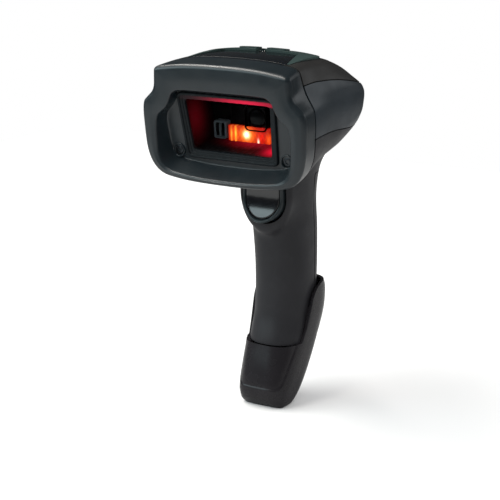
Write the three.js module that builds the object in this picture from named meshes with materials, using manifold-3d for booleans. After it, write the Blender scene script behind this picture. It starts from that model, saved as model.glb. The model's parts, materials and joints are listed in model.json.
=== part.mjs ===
// Handheld barcode scanner: pistol-grip imager with a wide head and a removable boot.
// Millimetres, +Z up, scanning towards -Y, origin at the middle of the boot's flat base.
import * as THREE from "three";
import { mergeVertices } from "three/addons/utils/BufferGeometryUtils.js";
import Module from "manifold-3d";

const wasm = await Module();
wasm.setup();

// ---------------------------------------------------------------- driving dimensions
const GAP = 0.3; // clearance between neighbouring pieces
const WALL = 2.2; // moulded wall thickness

// Head frame: its own axes, pitched nose-down, origin in the middle of the front face.
const FACE_Y = -40;
const FACE_Z = 142.5;
const HEAD_PITCH = THREE.MathUtils.degToRad(4);
const BEZEL_DEPTH = 14;
const HEAD_LENGTH = 81.5;

// Head sections along its depth: half width, top and bottom of the section.
const HEAD_SECTIONS = [
  { at: 0, width: 43, top: 22.4, bottom: -31.6 },
  { at: 14, width: 40.6, top: 23.5, bottom: -32 },
  { at: 30, width: 39, top: 23.1, bottom: -30.2 },
  { at: 44, width: 38.4, top: 21.4, bottom: -27.4 },
  { at: 56, width: 37.6, top: 17, bottom: -23.8 },
  { at: 66, width: 35.8, top: 11.4, bottom: -19.6 },
  { at: 74, width: 32, top: 5.8, bottom: -14.4 },
  { at: 79.5, width: 23.4, top: 1.4, bottom: -9 },
  { at: 81.5, width: 14, top: 0.6, bottom: -6 },
];

// Half outlines as fractions of width and height, crown first, with the share of each
// side that its corner rounds off.
const BEZEL_OUTLINE = [
  { x: 0.4, z: 1, soft: 0.48 },
  { x: 0.825, z: 0.89, soft: 0.2 },
  { x: 0.84, z: 0.42, soft: 0.3 },
  { x: 1, z: 0.14, soft: 0.25 },
  { x: 0.957, z: -0.905, soft: 0.5 },
  { x: 0.42, z: -1, soft: 0.45 },
];
const BODY_OUTLINE = [
  { x: 0.37, z: 1, soft: 0.45 },
  { x: 0.74, z: 0.915, soft: 0.3 },
  { x: 0.95, z: 0.5, soft: 0.35 },
  { x: 1, z: -0.02, soft: 0.4 },
  { x: 0.94, z: -0.7, soft: 0.45 },
  { x: 0.45, z: -1, soft: 0.45 },
];
const BODY_OUTLINE_REACHED = { from: 2, to: 34 };

// Seams of the head in its side view, at depth and height.
const UPPER_SEAM = [[14, 13.6], [24, 13.6], [39, 11.8], [55, 8.4], [67, 5.2], [81, 2.4]];
const LOWER_SEAM = [[14, -9.5], [35, -10.3], [48, -12], [58, -13], [68, -12.4], [81, -10]];

// Grip sections along its height: centre line, half width, half depth.
const GRIP_SECTIONS = [
  { at: 12, centre: 7.6, width: 10.8, depth: 10.6 },
  { at: 26.4, centre: 12, width: 12, depth: 12.2 },
  { at: 27.6, centre: 12.5, width: 13.8, depth: 14.3 },
  { at: 42, centre: 16.8, width: 13.9, depth: 14.6 },
  { at: 62, centre: 17.7, width: 14, depth: 14.9 },
  { at: 82, centre: 16.4, width: 14.4, depth: 15.7 },
  { at: 97, centre: 14.1, width: 14.9, depth: 16.3 },
  { at: 108, centre: 11.5, width: 17, depth: 18 },
  { at: 116, centre: 9.5, width: 20, depth: 20.5 },
  { at: 126, centre: 8, width: 27, depth: 25 },
];
const GRIP_SHAPE = 2.3; // superellipse exponent of the grip section
const GRIP_SEAM_BACK = 3; // the long seam runs this far behind the centre line
const GRIP_SEAM_TOP = 117;

// The flat base of the boot, below the zero of the sections; the whole object is lifted by this.
const BOOT_BASE = -2.3;

// Boot sections along its height: front, back, half width, superellipse exponent.
const BOOT_SECTIONS = [
  { at: BOOT_BASE, front: -4.8, back: 5.2, width: 10.6, shape: 4.2 },
  { at: -1.6, front: -5.6, back: 6.8, width: 11.4, shape: 4.2 },
  { at: 0, front: -7.2, back: 9.6, width: 12.1, shape: 4 },
  { at: 2.4, front: -8.6, back: 13, width: 12.6, shape: 3.8 },
  { at: 6, front: -9.5, back: 16.9, width: 13.1, shape: 3.6 },
  { at: 15, front: -7.7, back: 23.5, width: 14.1, shape: 3.2 },
  { at: 28, front: -3.7, back: 30.8, width: 15.3, shape: 2.8 },
  { at: 41, front: 0, back: 36.2, width: 16.5, shape: 2.6 },
  { at: 51, front: 2.4, back: 37, width: 16.5, shape: 2.6 },
  { at: 57, front: 3, back: 35, width: 15.9, shape: 2.6 },
];
const BOOT_HOLLOW = [
  { at: 9, front: -4.6, back: 18.6, width: 11.9, shape: 2.4 },
  { at: 18, front: -3.6, back: 23.6, width: 13.2, shape: 2.4 },
  { at: 28, front: -2.4, back: 27.8, width: 14.2, shape: 2.4 },
  { at: 41, front: -1, back: 33.4, width: 15.1, shape: 2.4 },
  { at: 51, front: 1, back: 34.8, width: 15.2, shape: 2.4 },
  { at: 58, front: 2, back: 34, width: 15.2, shape: 2.4 },
];
// Rim of the boot in side view: level at the front, then up both flanks to a high back.
const BOOT_RIM = [[-20, 28], [7, 28], [10, 31], [13, 41], [16, 49], [21, 53.5], [30, 55], [45, 54.4]];

// Scan window, on a plane that leans back at its lower edge; it tapers towards that edge.
const WINDOW_LEAN = THREE.MathUtils.degToRad(7.8);
const WINDOW_DEPTH = 6.6;
const WINDOW_HEIGHT = -6.8;
const WINDOW_HALF = [21.5, 12.1];
const WINDOW_TAPER = 0.9;
const FRAME_BAND = 3.2;

// Trigger, hinged on a pin at its hidden top.
const PIVOT = { y: 3, z: 112, pin: 1.2, bore: 1.5, half: 14 };
const TRIGGER_HALF = 11;
const TRIGGER_FOOT = 88.2;
const TRIGGER_HEAD = 108.6;
const PAD_HALF = 9;
const PAD_FOOT = 90.3;
const TRIGGER_BACK = 3.5;
const FINGER_RADIUS = 24;
const FINGER_CENTRE = { y: -28.6, z: 101 };

// ---------------------------------------------------------------- materials
const finish = (color, roughness, metalness = 0, extra = {}) =>
  new THREE.MeshStandardMaterial({ color, roughness, metalness, ...extra });

const BLUE_GREY = finish(0x23272c, 0.42);
const BROWN_GREY = finish(0x262321, 0.55);
const GRIP_GREY = finish(0x1f1f20, 0.58);
const BOOT_GREY = finish(0x1e1c1d, 0.4);
const GLOSS_BLACK = finish(0x08080a, 0.12);
const TRIM_GREY = finish(0x39423f, 0.38);
const TRIGGER_GREY = finish(0x2a2e33, 0.35);
const PAD_GLOSS = finish(0x1d2026, 0.15);
const BLACK_PLASTIC = finish(0x0e0e0f, 0.5);
const RUBBER = finish(0x0b0b0b, 0.85);
const STEEL = finish(0x9a9c9f, 0.35, 1);
const BRASS = finish(0xb8924a, 0.35, 1);
const BOARD_GREEN = finish(0x0f3d24, 0.5);
const CHIP_BLACK = finish(0x111214, 0.45);
const CLEAR = finish(0xd8dde2, 0.05, 0, { transparent: true, opacity: 0.25 });
const LENS_GLASS = finish(0x14161c, 0.05);
const RED_GUIDE = finish(0xc01808, 0.2);
const LAMP = finish(0xfff2c0, 0.3);
const CELL_WRAP = finish(0x2a4a7a, 0.4);
const RIBBON = finish(0xb5771c, 0.4);
const LEAD_RED = finish(0x9c1512, 0.5);
const CHASSIS = finish(0x6f7276, 0.4, 1);
const IVORY = finish(0xd8d4c8, 0.5);

// ---------------------------------------------------------------- geometry helpers
// Value of every field of a section table at one position, smooth between its rows.
function sectionAt(table, at) {
  const last = table.length - 1;
  const clamped = Math.min(Math.max(at, table[0].at), table[last].at);
  let i = 0;
  while (i < last - 1 && clamped > table[i + 1].at) i += 1;
  const [a, b] = [table[i], table[i + 1]];
  const span = b.at - a.at;
  const t = (clamped - a.at) / span;
  const slope = (row, field) => {
    const before = table[Math.max(row - 1, 0)];
    const after = table[Math.min(row + 1, last)];
    return (after[field] - before[field]) / (after.at - before.at);
  };
  const blended = { at: clamped };
  for (const field of Object.keys(a)) {
    if (field === "at") continue;
    const easeIn = t * t * (3 - 2 * t);
    const startSlope = span * t * (1 - t) * (1 - t) * slope(i, field);
    const endSlope = span * t * t * (t - 1) * slope(i + 1, field);
    blended[field] = a[field] * (1 - easeIn) + b[field] * easeIn + startSlope + endSlope;
  }
  return blended;
}

// Closed ring of [u, v] points: a polygon whose corners are rounded by parabolas.
function roundedRing(corners, steps) {
  const ring = [];
  corners.forEach((corner, i) => {
    const previous = corners[(i + corners.length - 1) % corners.length];
    const next = corners[(i + 1) % corners.length];
    const lead = (other, k) => corner[k] + (other[k] - corner[k]) * corner.soft;
    for (let s = 0; s <= steps; s += 1) {
      const t = s / steps;
      const along = (k) =>
        lead(previous, k) * (1 - t) ** 2 + corner[k] * 2 * t * (1 - t) + lead(next, k) * t * t;
      ring.push([along("x"), along("z")]);
    }
  });
  return ring;
}

function mirroredCorners(half) {
  const left = half.map((corner) => ({ ...corner, x: -corner.x })).reverse();
  return [...half, ...left];
}

function superellipse(centre, width, depth, exponent, steps) {
  const ring = [];
  for (let s = 0; s < steps; s += 1) {
    const angle = (s / steps) * Math.PI * 2;
    const [c, n] = [Math.cos(angle), Math.sin(angle)];
    const x = width * Math.sign(c) * Math.abs(c) ** (2 / exponent);
    const y = centre + depth * Math.sign(n) * Math.abs(n) ** (2 / exponent);
    ring.push([x, y]);
  }
  return ring;
}

// Closed solid through rings of equal length; both ends are flat or near-flat.
function loft(rings) {
  const count = rings[0].length;
  const positions = rings.flatMap((ring) => ring.flatMap((point) => point.toArray()));
  const index = [];
  for (let r = 0; r < rings.length - 1; r += 1) {
    for (let i = 0; i < count; i += 1) {
      const j = (i + 1) % count;
      const [a, b] = [r * count + i, r * count + j];
      index.push(a, b, b + count, a, b + count, a + count);
    }
  }
  [0, rings.length - 1].forEach((r, end) => {
    const middle = rings[r].reduce((sum, point) => sum.add(point), new THREE.Vector3());
    positions.push(...middle.divideScalar(count).toArray());
    const hub = positions.length / 3 - 1;
    for (let i = 0; i < count; i += 1) {
      const [a, b] = [r * count + i, r * count + ((i + 1) % count)];
      if (end === 0) index.push(hub, b, a);
      else index.push(hub, a, b);
    }
  });
  const geometry = new THREE.BufferGeometry();
  geometry.setAttribute("position", new THREE.Float32BufferAttribute(positions, 3));
  geometry.setIndex(index);
  if (signedVolume(geometry) < 0) geometry.index.array.reverse();
  return geometry;
}

function signedVolume(geometry) {
  const [a, b, c] = [new THREE.Vector3(), new THREE.Vector3(), new THREE.Vector3()];
  const position = geometry.attributes.position;
  const index = geometry.index.array;
  let volume = 0;
  for (let i = 0; i < index.length; i += 3) {
    a.fromBufferAttribute(position, index[i]);
    b.fromBufferAttribute(position, index[i + 1]);
    c.fromBufferAttribute(position, index[i + 2]);
    volume += a.dot(b.cross(c)) / 6;
  }
  return volume;
}

function solid(geometry) {
  const bare = geometry.clone();
  bare.deleteAttribute("normal");
  bare.deleteAttribute("uv");
  const merged = mergeVertices(bare, 1e-4);
  const mesh = new wasm.Mesh({
    numProp: 3,
    vertProperties: new Float32Array(merged.attributes.position.array),
    triVerts: new Uint32Array(merged.index.array),
  });
  return new wasm.Manifold(mesh);
}

function fromSolid(manifold) {
  const mesh = manifold.getMesh();
  const geometry = new THREE.BufferGeometry();
  geometry.setAttribute("position", new THREE.BufferAttribute(mesh.vertProperties, 3));
  geometry.setIndex(new THREE.BufferAttribute(mesh.triVerts, 1));
  geometry.computeVertexNormals();
  return geometry;
}

const joined = (...parts) => parts.reduce((sum, part) => sum.add(part));
const cutBy = (body, ...tools) => tools.reduce((rest, tool) => rest.subtract(tool), body);

// Box between two corners.
function block(low, high) {
  const size = high.map((value, i) => value - low[i]);
  const middle = high.map((value, i) => (value + low[i]) / 2);
  return new THREE.BoxGeometry(...size).translate(...middle);
}

// Cylinder from one point along an axis.
function rod(radius, from, axis, length, sides = 20) {
  const direction = new THREE.Vector3(...axis).normalize();
  const turn = new THREE.Quaternion().setFromUnitVectors(new THREE.Vector3(0, 1, 0), direction);
  const geometry = new THREE.CylinderGeometry(radius, radius, length, sides);
  geometry.translate(0, length / 2, 0).applyQuaternion(turn);
  return geometry.translate(...from);
}

// Prism of a side-view polygon (depth, height), centred on x.
function sidePrism(points, halfWidth) {
  const shape = new THREE.Shape(points.map(([y, z]) => new THREE.Vector2(y, z)));
  const geometry = new THREE.ExtrudeGeometry(shape, { depth: 2 * halfWidth, bevelEnabled: false });
  geometry.translate(0, 0, -halfWidth);
  return geometry.applyMatrix4(new THREE.Matrix4().makeBasis(
    new THREE.Vector3(0, 1, 0), new THREE.Vector3(0, 0, 1), new THREE.Vector3(1, 0, 0),
  ));
}

// Prism of a front-view outline (x, z) between two depths.
function frontPrism(points, from, to, hole) {
  const shape = new THREE.Shape(points.map(([x, z]) => new THREE.Vector2(x, z)));
  if (hole) shape.holes.push(new THREE.Path(hole.map(([x, z]) => new THREE.Vector2(x, z))));
  const geometry = new THREE.ExtrudeGeometry(shape, { depth: to - from, bevelEnabled: false });
  return geometry.rotateX(Math.PI / 2).translate(0, to, 0);
}

// Prism of a plan-view outline (x, y) between two heights.
function planPrism(points, from, to) {
  const shape = new THREE.Shape(points.map(([x, y]) => new THREE.Vector2(x, y)));
  const geometry = new THREE.ExtrudeGeometry(shape, { depth: to - from, bevelEnabled: false });
  return geometry.translate(0, 0, from);
}

function roundedRectangle(halfX, halfZ, soft, { steps = 3, x = 0, z = 0, taper = 0 } = {}) {
  const corners = [[1, 1], [1, -1], [-1, -1], [-1, 1]];
  return roundedRing(corners.map(([right, up]) => (
    { x: x + right * (halfX + up * taper), z: z + up * halfZ, soft }
  )), steps);
}

// U outline: straight sides and a foot that is round, or drawn out when reach is longer.
function tongue(half, foot, head, reach = half) {
  const steps = 14;
  const ring = [[half, head], [-half, head]];
  for (let s = 0; s <= steps; s += 1) {
    const angle = Math.PI + (s / steps) * Math.PI;
    ring.push([half * Math.cos(angle), foot + reach + reach * Math.sin(angle)]);
  }
  return ring;
}

function sweep(points, radius, segments, sides = 6) {
  const section = new THREE.Shape();
  for (let s = 0; s < sides; s += 1) {
    const angle = (s / sides) * Math.PI * 2;
    const [u, v] = [radius * Math.cos(angle), radius * Math.sin(angle)];
    if (s === 0) section.moveTo(u, v);
    else section.lineTo(u, v);
  }
  const path = new THREE.CatmullRomCurve3(points.map((point) => new THREE.Vector3(...point)));
  return new THREE.ExtrudeGeometry(section, { steps: segments, extrudePath: path, bevelEnabled: false });
}

// Helix about z, centred on the origin in plan.
function coil(radius, wire, turns, height, perTurn = 12) {
  const points = [];
  for (let s = 0; s <= turns * perTurn; s += 1) {
    const angle = (s / perTurn) * Math.PI * 2;
    const rise = (s / (turns * perTurn)) * height;
    points.push([radius * Math.cos(angle), radius * Math.sin(angle), rise]);
  }
  return sweep(points, wire, turns * perTurn, 5);
}

// ---------------------------------------------------------------- outer surfaces
const ARC_STEPS = 2;

// Ring of the head at one depth; grow moves the surface out (or in when negative).
function headRing(depth, grow) {
  const row = sectionAt(HEAD_SECTIONS, depth);
  const share = THREE.MathUtils.smoothstep(depth, BODY_OUTLINE_REACHED.from, BODY_OUTLINE_REACHED.to);
  const width = Math.max(row.width + grow, 1);
  const top = Math.max(row.top + grow, 0.4);
  const bottom = Math.min(row.bottom - grow, -0.6);
  const half = BEZEL_OUTLINE.map((corner, i) => {
    const mix = (field) => THREE.MathUtils.lerp(corner[field], BODY_OUTLINE[i][field], share);
    const z = mix("z");
    return { x: mix("x") * width, z: z > 0 ? z * top : -z * bottom, soft: mix("soft") };
  });
  const stretch = (depth - BEZEL_DEPTH) / (HEAD_LENGTH - BEZEL_DEPTH);
  const y = depth + grow * Math.max(stretch, 0);
  return roundedRing(mirroredCorners(half), ARC_STEPS).map(([x, z]) => new THREE.Vector3(x, y, z));
}

const BODY_DEPTHS = [BEZEL_DEPTH + GAP, 22, 30, 38, 46, 54, 61, 67, 72, 76, 79.5, HEAD_LENGTH];

function headBody(grow, lead = 0) {
  const depths = lead ? [BODY_DEPTHS[0] - lead, ...BODY_DEPTHS] : BODY_DEPTHS;
  return solid(loft(depths.map((depth) => headRing(depth, grow))));
}

const HEAD_TO_ROW = new THREE.Matrix4()
  .makeTranslation(0, FACE_Y, FACE_Z)
  .multiply(new THREE.Matrix4().makeRotationX(HEAD_PITCH));

const inRow = (headSolid) => solid(fromSolid(headSolid).applyMatrix4(HEAD_TO_ROW));

const GRIP_HEIGHTS = [12, 19, 26.4, 27.6, 36, 48, 62, 78, 90, 98, 106, 112, 118, 126];
const GRIP_SIDES = 28;

function grip(grow, low = GRIP_HEIGHTS[0]) {
  const rings = GRIP_HEIGHTS.map((height, i) => {
    const row = sectionAt(GRIP_SECTIONS, height);
    const z = i === 0 ? low : height;
    return superellipse(row.centre, row.width + grow, row.depth + grow, GRIP_SHAPE, GRIP_SIDES)
      .map(([x, y]) => new THREE.Vector3(x, y, z));
  });
  return solid(loft(rings));
}

function bootForm(table, heights) {
  const rings = heights.map((height) => {
    const row = sectionAt(table, height);
    const middle = (row.front + row.back) / 2;
    const depth = (row.back - row.front) / 2;
    return superellipse(middle, row.width, depth, row.shape, GRIP_SIDES)
      .map(([x, y]) => new THREE.Vector3(x, y, height));
  });
  return solid(loft(rings));
}

// Side-view regions of the head, above or below a seam.
function above(seam, lift) {
  return solid(sidePrism([
    ...seam.map(([y, z]) => [y, z + lift]),
    [90, 60], [5, 60], [5, seam[0][1] + lift],
  ], 60));
}

function below(seam, lift) {
  return solid(sidePrism([
    ...seam.map(([y, z]) => [y, z + lift]),
    [90, -60], [5, -60], [5, seam[0][1] + lift],
  ], 60));
}

// ---------------------------------------------------------------- scene graph
const row = new THREE.Group();
row.position.z = -BOOT_BASE;
const head = new THREE.Group();
head.position.set(0, FACE_Y, FACE_Z);
head.rotation.x = HEAD_PITCH;
const windowStack = new THREE.Group();
windowStack.position.set(0, WINDOW_DEPTH, WINDOW_HEIGHT);
windowStack.rotation.x = WINDOW_LEAN;
head.add(windowStack);
row.add(head);

function place(parent, name, shape, material) {
  const geometry = shape instanceof THREE.BufferGeometry ? shape : fromSolid(shape);
  const mesh = new THREE.Mesh(geometry, material);
  mesh.name = name;
  parent.add(mesh);
  return mesh;
}

// ---------------------------------------------------------------- bezel and window
const SCREW_SPOTS = [{ side: "left", x: -28.6 }, { side: "right", x: 28.6 }];
const BEZEL_SCREW = { z: -19.4, seat: 8.5, head: 2.1, pocket: 2.5 };

function bezelSolid() {
  const fillet = [[0, -2.2], [0.5, -1], [1.4, -0.25], [2.6, 0], [BEZEL_DEPTH, 0]];
  const outer = solid(loft(fillet.map(([depth, grow]) => {
    const ring = headRing(depth, grow);
    return ring.map((point) => point.setY(depth));
  })));
  const inner = solid(loft([[BEZEL_DEPTH - 2, -WALL - 0.6], [BEZEL_DEPTH + 1, -WALL - 0.6]]
    .map(([depth, grow]) => headRing(depth, grow))));
  const tunnel = solid(block([-28, 6, -25.6], [28, 20, 10.6]));
  return joined(cutBy(outer, inner), tunnel.intersect(solid(bezelEnvelope())));
}

// Room the light tunnel may fill: inside the head wall and behind the face.
function bezelEnvelope() {
  return loft([3, BEZEL_DEPTH, 20].map((depth) => {
    const ring = headRing(depth, -WALL - GAP);
    return ring.map((point) => point.setY(depth));
  }));
}

// Recess with steep walls, from its rim in the face down to the leaning plane of the window.
const RECESS_RIM = [
  { x: 22.4, z: 10.4, soft: 0.25 },
  { x: 26, z: 8.2, soft: 0.3 },
  { x: 28.8, z: 2, soft: 0.3 },
  { x: 35.4, z: -3, soft: 0.3 },
  { x: 34.8, z: -26.6, soft: 0.45 },
  { x: 14, z: -29.4, soft: 0.45 },
];
const RECESS_FLOOR = [
  { x: 22, z: 15.9, soft: 0.2 },
  { x: 25.7, z: 15.7, soft: 0.2 },
  { x: 26.6, z: 11.5, soft: 0.2 },
  { x: 33.4, z: 4.2, soft: 0.3 },
  { x: 32, z: -16.4, soft: 0.42 },
  { x: 14, z: -18.6, soft: 0.45 },
];

function recessSolid() {
  const lean = new THREE.Matrix4()
    .makeTranslation(0, WINDOW_DEPTH, WINDOW_HEIGHT)
    .multiply(new THREE.Matrix4().makeRotationX(WINDOW_LEAN));
  const rimRing = (depth) => roundedRing(mirroredCorners(RECESS_RIM), ARC_STEPS)
    .map(([x, z]) => new THREE.Vector3(x, depth, z));
  const floorRing = roundedRing(mirroredCorners(RECESS_FLOOR), ARC_STEPS)
    .map(([x, z]) => new THREE.Vector3(x, GAP, z).applyMatrix4(lean));
  return solid(loft([rimRing(-2), rimRing(0.5), floorRing]));
}

const leaning = (geometry) => solid(geometry
  .rotateX(WINDOW_LEAN)
  .translate(0, WINDOW_DEPTH, WINDOW_HEIGHT));

const [windowHalfX, windowHalfZ] = WINDOW_HALF;
const GLASS = { front: GAP, back: 1.8, halfX: windowHalfX + 1.6, halfZ: windowHalfZ + 1.6 };
const SEAL = { front: 2.1, back: 3, band: 1.6 };

function frontBezel() {
  const taper = WINDOW_TAPER;
  const glassSeat = roundedRectangle(GLASS.halfX + GAP, GLASS.halfZ + GAP, 0.05, { taper });
  const glassPocket = leaning(frontPrism(glassSeat, -1, SEAL.back + GAP));
  const lightPath = leaning(frontPrism(
    roundedRectangle(windowHalfX - 0.4, windowHalfZ - 0.4, 0.05, { taper }), 1, 24,
  ));
  const screwPockets = SCREW_SPOTS.map(({ x }) => joined(
    solid(rod(BEZEL_SCREW.pocket, [x, -1, BEZEL_SCREW.z], [0, 1, 0], BEZEL_SCREW.seat + 3.4)),
    solid(rod(1.4, [x, BEZEL_SCREW.seat, BEZEL_SCREW.z], [0, 1, 0], 20, 12)),
  ));
  return cutBy(bezelSolid(), recessSolid(), glassPocket, lightPath, ...screwPockets);
}

place(head, "front_bezel", frontBezel(), BLUE_GREY);

function windowParts() {
  const taper = WINDOW_TAPER;
  const ledge = (from, to, grow, inset) => frontPrism(
    roundedRectangle(windowHalfX + grow, windowHalfZ + grow, 0.07, { taper }),
    from,
    to,
    roundedRectangle(windowHalfX + inset, windowHalfZ + inset, 0.06, { taper }).reverse(),
  );
  const steps = joined(solid(ledge(-1, 0, FRAME_BAND, 0)), solid(ledge(-1.8, -0.5, 2.4, 1.1)));
  place(windowStack, "window_frame", steps, BLACK_PLASTIC);
  const pane = roundedRectangle(GLASS.halfX, GLASS.halfZ, 0.05, { taper });
  place(windowStack, "scan_window", frontPrism(pane, GLASS.front, GLASS.back), CLEAR);
  const sealInner = roundedRectangle(GLASS.halfX - SEAL.band, GLASS.halfZ - SEAL.band, 0.05, { taper });
  const seal = frontPrism(pane, SEAL.front, SEAL.back, sealInner.reverse());
  place(windowStack, "window_gasket", seal, RUBBER);
}
windowParts();

// Socket-head screw along an axis: head, hexagonal socket and shank.
function screw(headRadius, headHeight, shankRadius, length) {
  const headPart = solid(rod(headRadius, [0, 0, 0], [0, 1, 0], headHeight, 20));
  const socket = solid(rod(headRadius * 0.5, [0, -1, 0], [0, 1, 0], 1 + headHeight * 0.6, 6));
  const shank = solid(rod(shankRadius, [0, headHeight - 0.2, 0], [0, 1, 0], length, 12));
  return fromSolid(cutBy(joined(headPart, shank), socket));
}

for (const { side, x } of SCREW_SPOTS) {
  const mesh = place(head, `bezel_screw_${side}`, screw(BEZEL_SCREW.head, 1.8, 1, 9), STEEL);
  mesh.position.set(x, BEZEL_SCREW.seat, BEZEL_SCREW.z);
}

// ---------------------------------------------------------------- head shells
const skin = headBody(0);
const hollow = headBody(-WALL, 2);
const shell = cutBy(skin, hollow);

const CROWN = { half: 27, from: BEZEL_DEPTH + GAP, to: 52, thickness: 1.4 };
const crownColumn = (inset) => solid(block(
  [-CROWN.half + inset, CROWN.from - 1 + inset, 6],
  [CROWN.half - inset, CROWN.to - inset, 60],
));
const BAR = { from: 36.6, to: 41, half: 12.4, notch: 2.3, rise: 1.8 };
const TRIM = { rise: [0.2, 1.1], sunk: 0.5, front: 15, back: 43, tip: 1, tail: 20 };

// Plan outline of the trim: two wings that taper forwards, joined behind the bar.
function trimOutline(grow) {
  const { front, back, tip, tail } = TRIM;
  const edge = CROWN.half - GAP;
  const wing = [
    [tail - grow, BAR.from - 1 - grow], [edge - tip - grow, front - grow],
    [edge + grow, front - grow], [edge + grow, back + grow],
  ];
  return [...wing, ...wing.map(([x, y]) => [-x, y]).reverse()];
}

function crownParts() {
  const groove = solid(planPrism(trimOutline(GAP), 0, 60));
  const grooveFloor = headBody(-TRIM.sunk - GAP, 2);
  const plate = cutBy(skin.intersect(crownColumn(GAP)), headBody(-CROWN.thickness, 2));
  const inlay = cutBy(plate, cutBy(groove, grooveFloor));
  place(head, "label_inlay", inlay, GLOSS_BLACK);
  const lightSlot = solid(block([-BAR.notch, BAR.from - 2, 0], [BAR.notch, BAR.to, 60]));
  const floor = headBody(-TRIM.sunk, 2);
  const crest = [BODY_DEPTHS[0] - 2, ...BODY_DEPTHS].map((depth) => {
    const share = THREE.MathUtils.smoothstep(depth, TRIM.front, BAR.from);
    return headRing(depth, THREE.MathUtils.lerp(...TRIM.rise, share));
  });
  const frame = solid(loft(crest)).intersect(solid(planPrism(trimOutline(0), 0, 60)));
  const bar = headBody(BAR.rise, 2)
    .intersect(solid(block([-BAR.half, BAR.from, 0], [BAR.half, BAR.to, 60])));
  place(head, "top_trim", cutBy(joined(frame, bar), floor, lightSlot), TRIM_GREY);
  const pipe = headBody(TRIM.rise[0], 2).intersect(solid(block(
    [-BAR.notch + GAP, BAR.from, 0], [BAR.notch - GAP, BAR.to - GAP, 60],
  )));
  place(head, "status_light_pipe", cutBy(pipe, floor), CLEAR);
}
crownParts();

function topCover() {
  const pocket = cutBy(crownColumn(0), headBody(-CROWN.thickness - GAP, 2));
  return cutBy(shell.intersect(above(UPPER_SEAM, GAP / 2)), pocket);
}
place(head, "top_cover", topCover(), BROWN_GREY);

const band = shell.intersect(below(UPPER_SEAM, -GAP / 2)).intersect(above(LOWER_SEAM, GAP / 2));
place(head, "head_band", band, BLUE_GREY);

// ---------------------------------------------------------------- grip shells
const SURROUND = { half: 14.1, foot: 79.6, head: 122, front: -3.4, reach: 20 };
const OPENING = { half: TRIGGER_HALF + 0.55, foot: TRIGGER_FOOT - 1, head: TRIGGER_HEAD + 0.6 };

// Raised moulding that carries the trigger, narrower at its front edge.
function surround(grow, front) {
  const { half, foot, head: top, reach } = SURROUND;
  const ring = (y, inset) => tongue(half + grow - inset, foot - grow + inset, top, reach)
    .map(([x, z]) => new THREE.Vector3(x, y, z));
  return solid(loft([ring(front, 1.2), ring(front + 1.2, 0.3), ring(front + 4, 0), ring(16, 0)]));
}

const seamPoint = (height, shift) => {
  const { centre } = sectionAt(GRIP_SECTIONS, height);
  return [centre + GRIP_SEAM_BACK + shift, height];
};

function rearRegion(shift, top) {
  const heights = [5, 20, 34, 48, 62, 78, 92, 104, top];
  const seam = heights.map((height) => seamPoint(height, shift));
  return solid(sidePrism([...seam, [60, top], [60, 5]], 60));
}

const lowerHead = inRow(skin.intersect(below(LOWER_SEAM, -GAP / 2)));
const headCavity = inRow(hollow);
const headRoof = inRow(above(LOWER_SEAM, -GAP / 2));
const gripSkin = grip(0);
const gripHollow = grip(-WALL, 10);
const BOSS = { inner: 11, outer: 17.4, radius: 3.1 };

function pinBosses() {
  return [-1, 1].map((side) => solid(rod(
    BOSS.radius, [side * BOSS.inner, PIVOT.y, PIVOT.z], [side, 0, 0], BOSS.outer - BOSS.inner,
  )));
}

function gripShell() {
  const outside = joined(cutBy(joined(gripSkin, surround(0, SURROUND.front)), headRoof), lowerHead);
  const inside = joined(gripHollow, surround(-WALL, SURROUND.front + WALL), headCavity);
  const walls = cutBy(outside, inside);
  const boreHalf = PIVOT.half + GAP;
  const bore = solid(rod(PIVOT.bore, [-boreHalf, PIVOT.y, PIVOT.z], [1, 0, 0], 2 * boreHalf, 16));
  const opening = solid(frontPrism(tongue(OPENING.half, OPENING.foot, OPENING.head), -30, 2));
  return cutBy(joined(walls, ...pinBosses()), bore, opening);
}

const CASE_SCREWS = [
  { name: "case_screw_left", x: -7, z: 100 },
  { name: "case_screw_right", x: 7, z: 100 },
  { name: "case_screw_lower", x: 0, z: 66 },
];
const CASE_SCREW = { head: 2, pocket: 2.4, sunk: 1.3 };

function caseScrewSeat({ x, z }) {
  const { centre, width, depth } = sectionAt(GRIP_SECTIONS, z);
  const across = 1 - Math.abs(x / width) ** GRIP_SHAPE;
  return centre + depth * across ** (1 / GRIP_SHAPE) - CASE_SCREW.sunk;
}

function gripParts() {
  const whole = gripShell();
  place(row, "handle_front_shell", cutBy(whole, rearRegion(-GAP / 2, GRIP_SEAM_TOP)), GRIP_GREY);
  const pockets = CASE_SCREWS.map((spot) => solid(rod(
    CASE_SCREW.pocket, [spot.x, caseScrewSeat(spot) - GAP, spot.z], [0, 1, 0], 8, 16,
  )));
  const bores = CASE_SCREWS.map((spot) => solid(rod(
    1.4, [spot.x, caseScrewSeat(spot) - 8, spot.z], [0, 1, 0], 12, 12,
  )));
  const rear = whole.intersect(rearRegion(GAP / 2, GRIP_SEAM_TOP - GAP));
  place(row, "handle_rear_shell", cutBy(rear, ...pockets, ...bores), GRIP_GREY);
  for (const spot of CASE_SCREWS) {
    const mesh = place(row, spot.name, screw(CASE_SCREW.head, 1.3, 1, 4), STEEL);
    mesh.rotation.z = Math.PI;
    mesh.position.set(spot.x, caseScrewSeat(spot) + 1.3, spot.z);
  }
}
gripParts();

// ---------------------------------------------------------------- trigger
function fingerHollow(radius) {
  return solid(rod(radius, [-30, FINGER_CENTRE.y, FINGER_CENTRE.z], [1, 0, 0], 60, 48));
}

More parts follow.
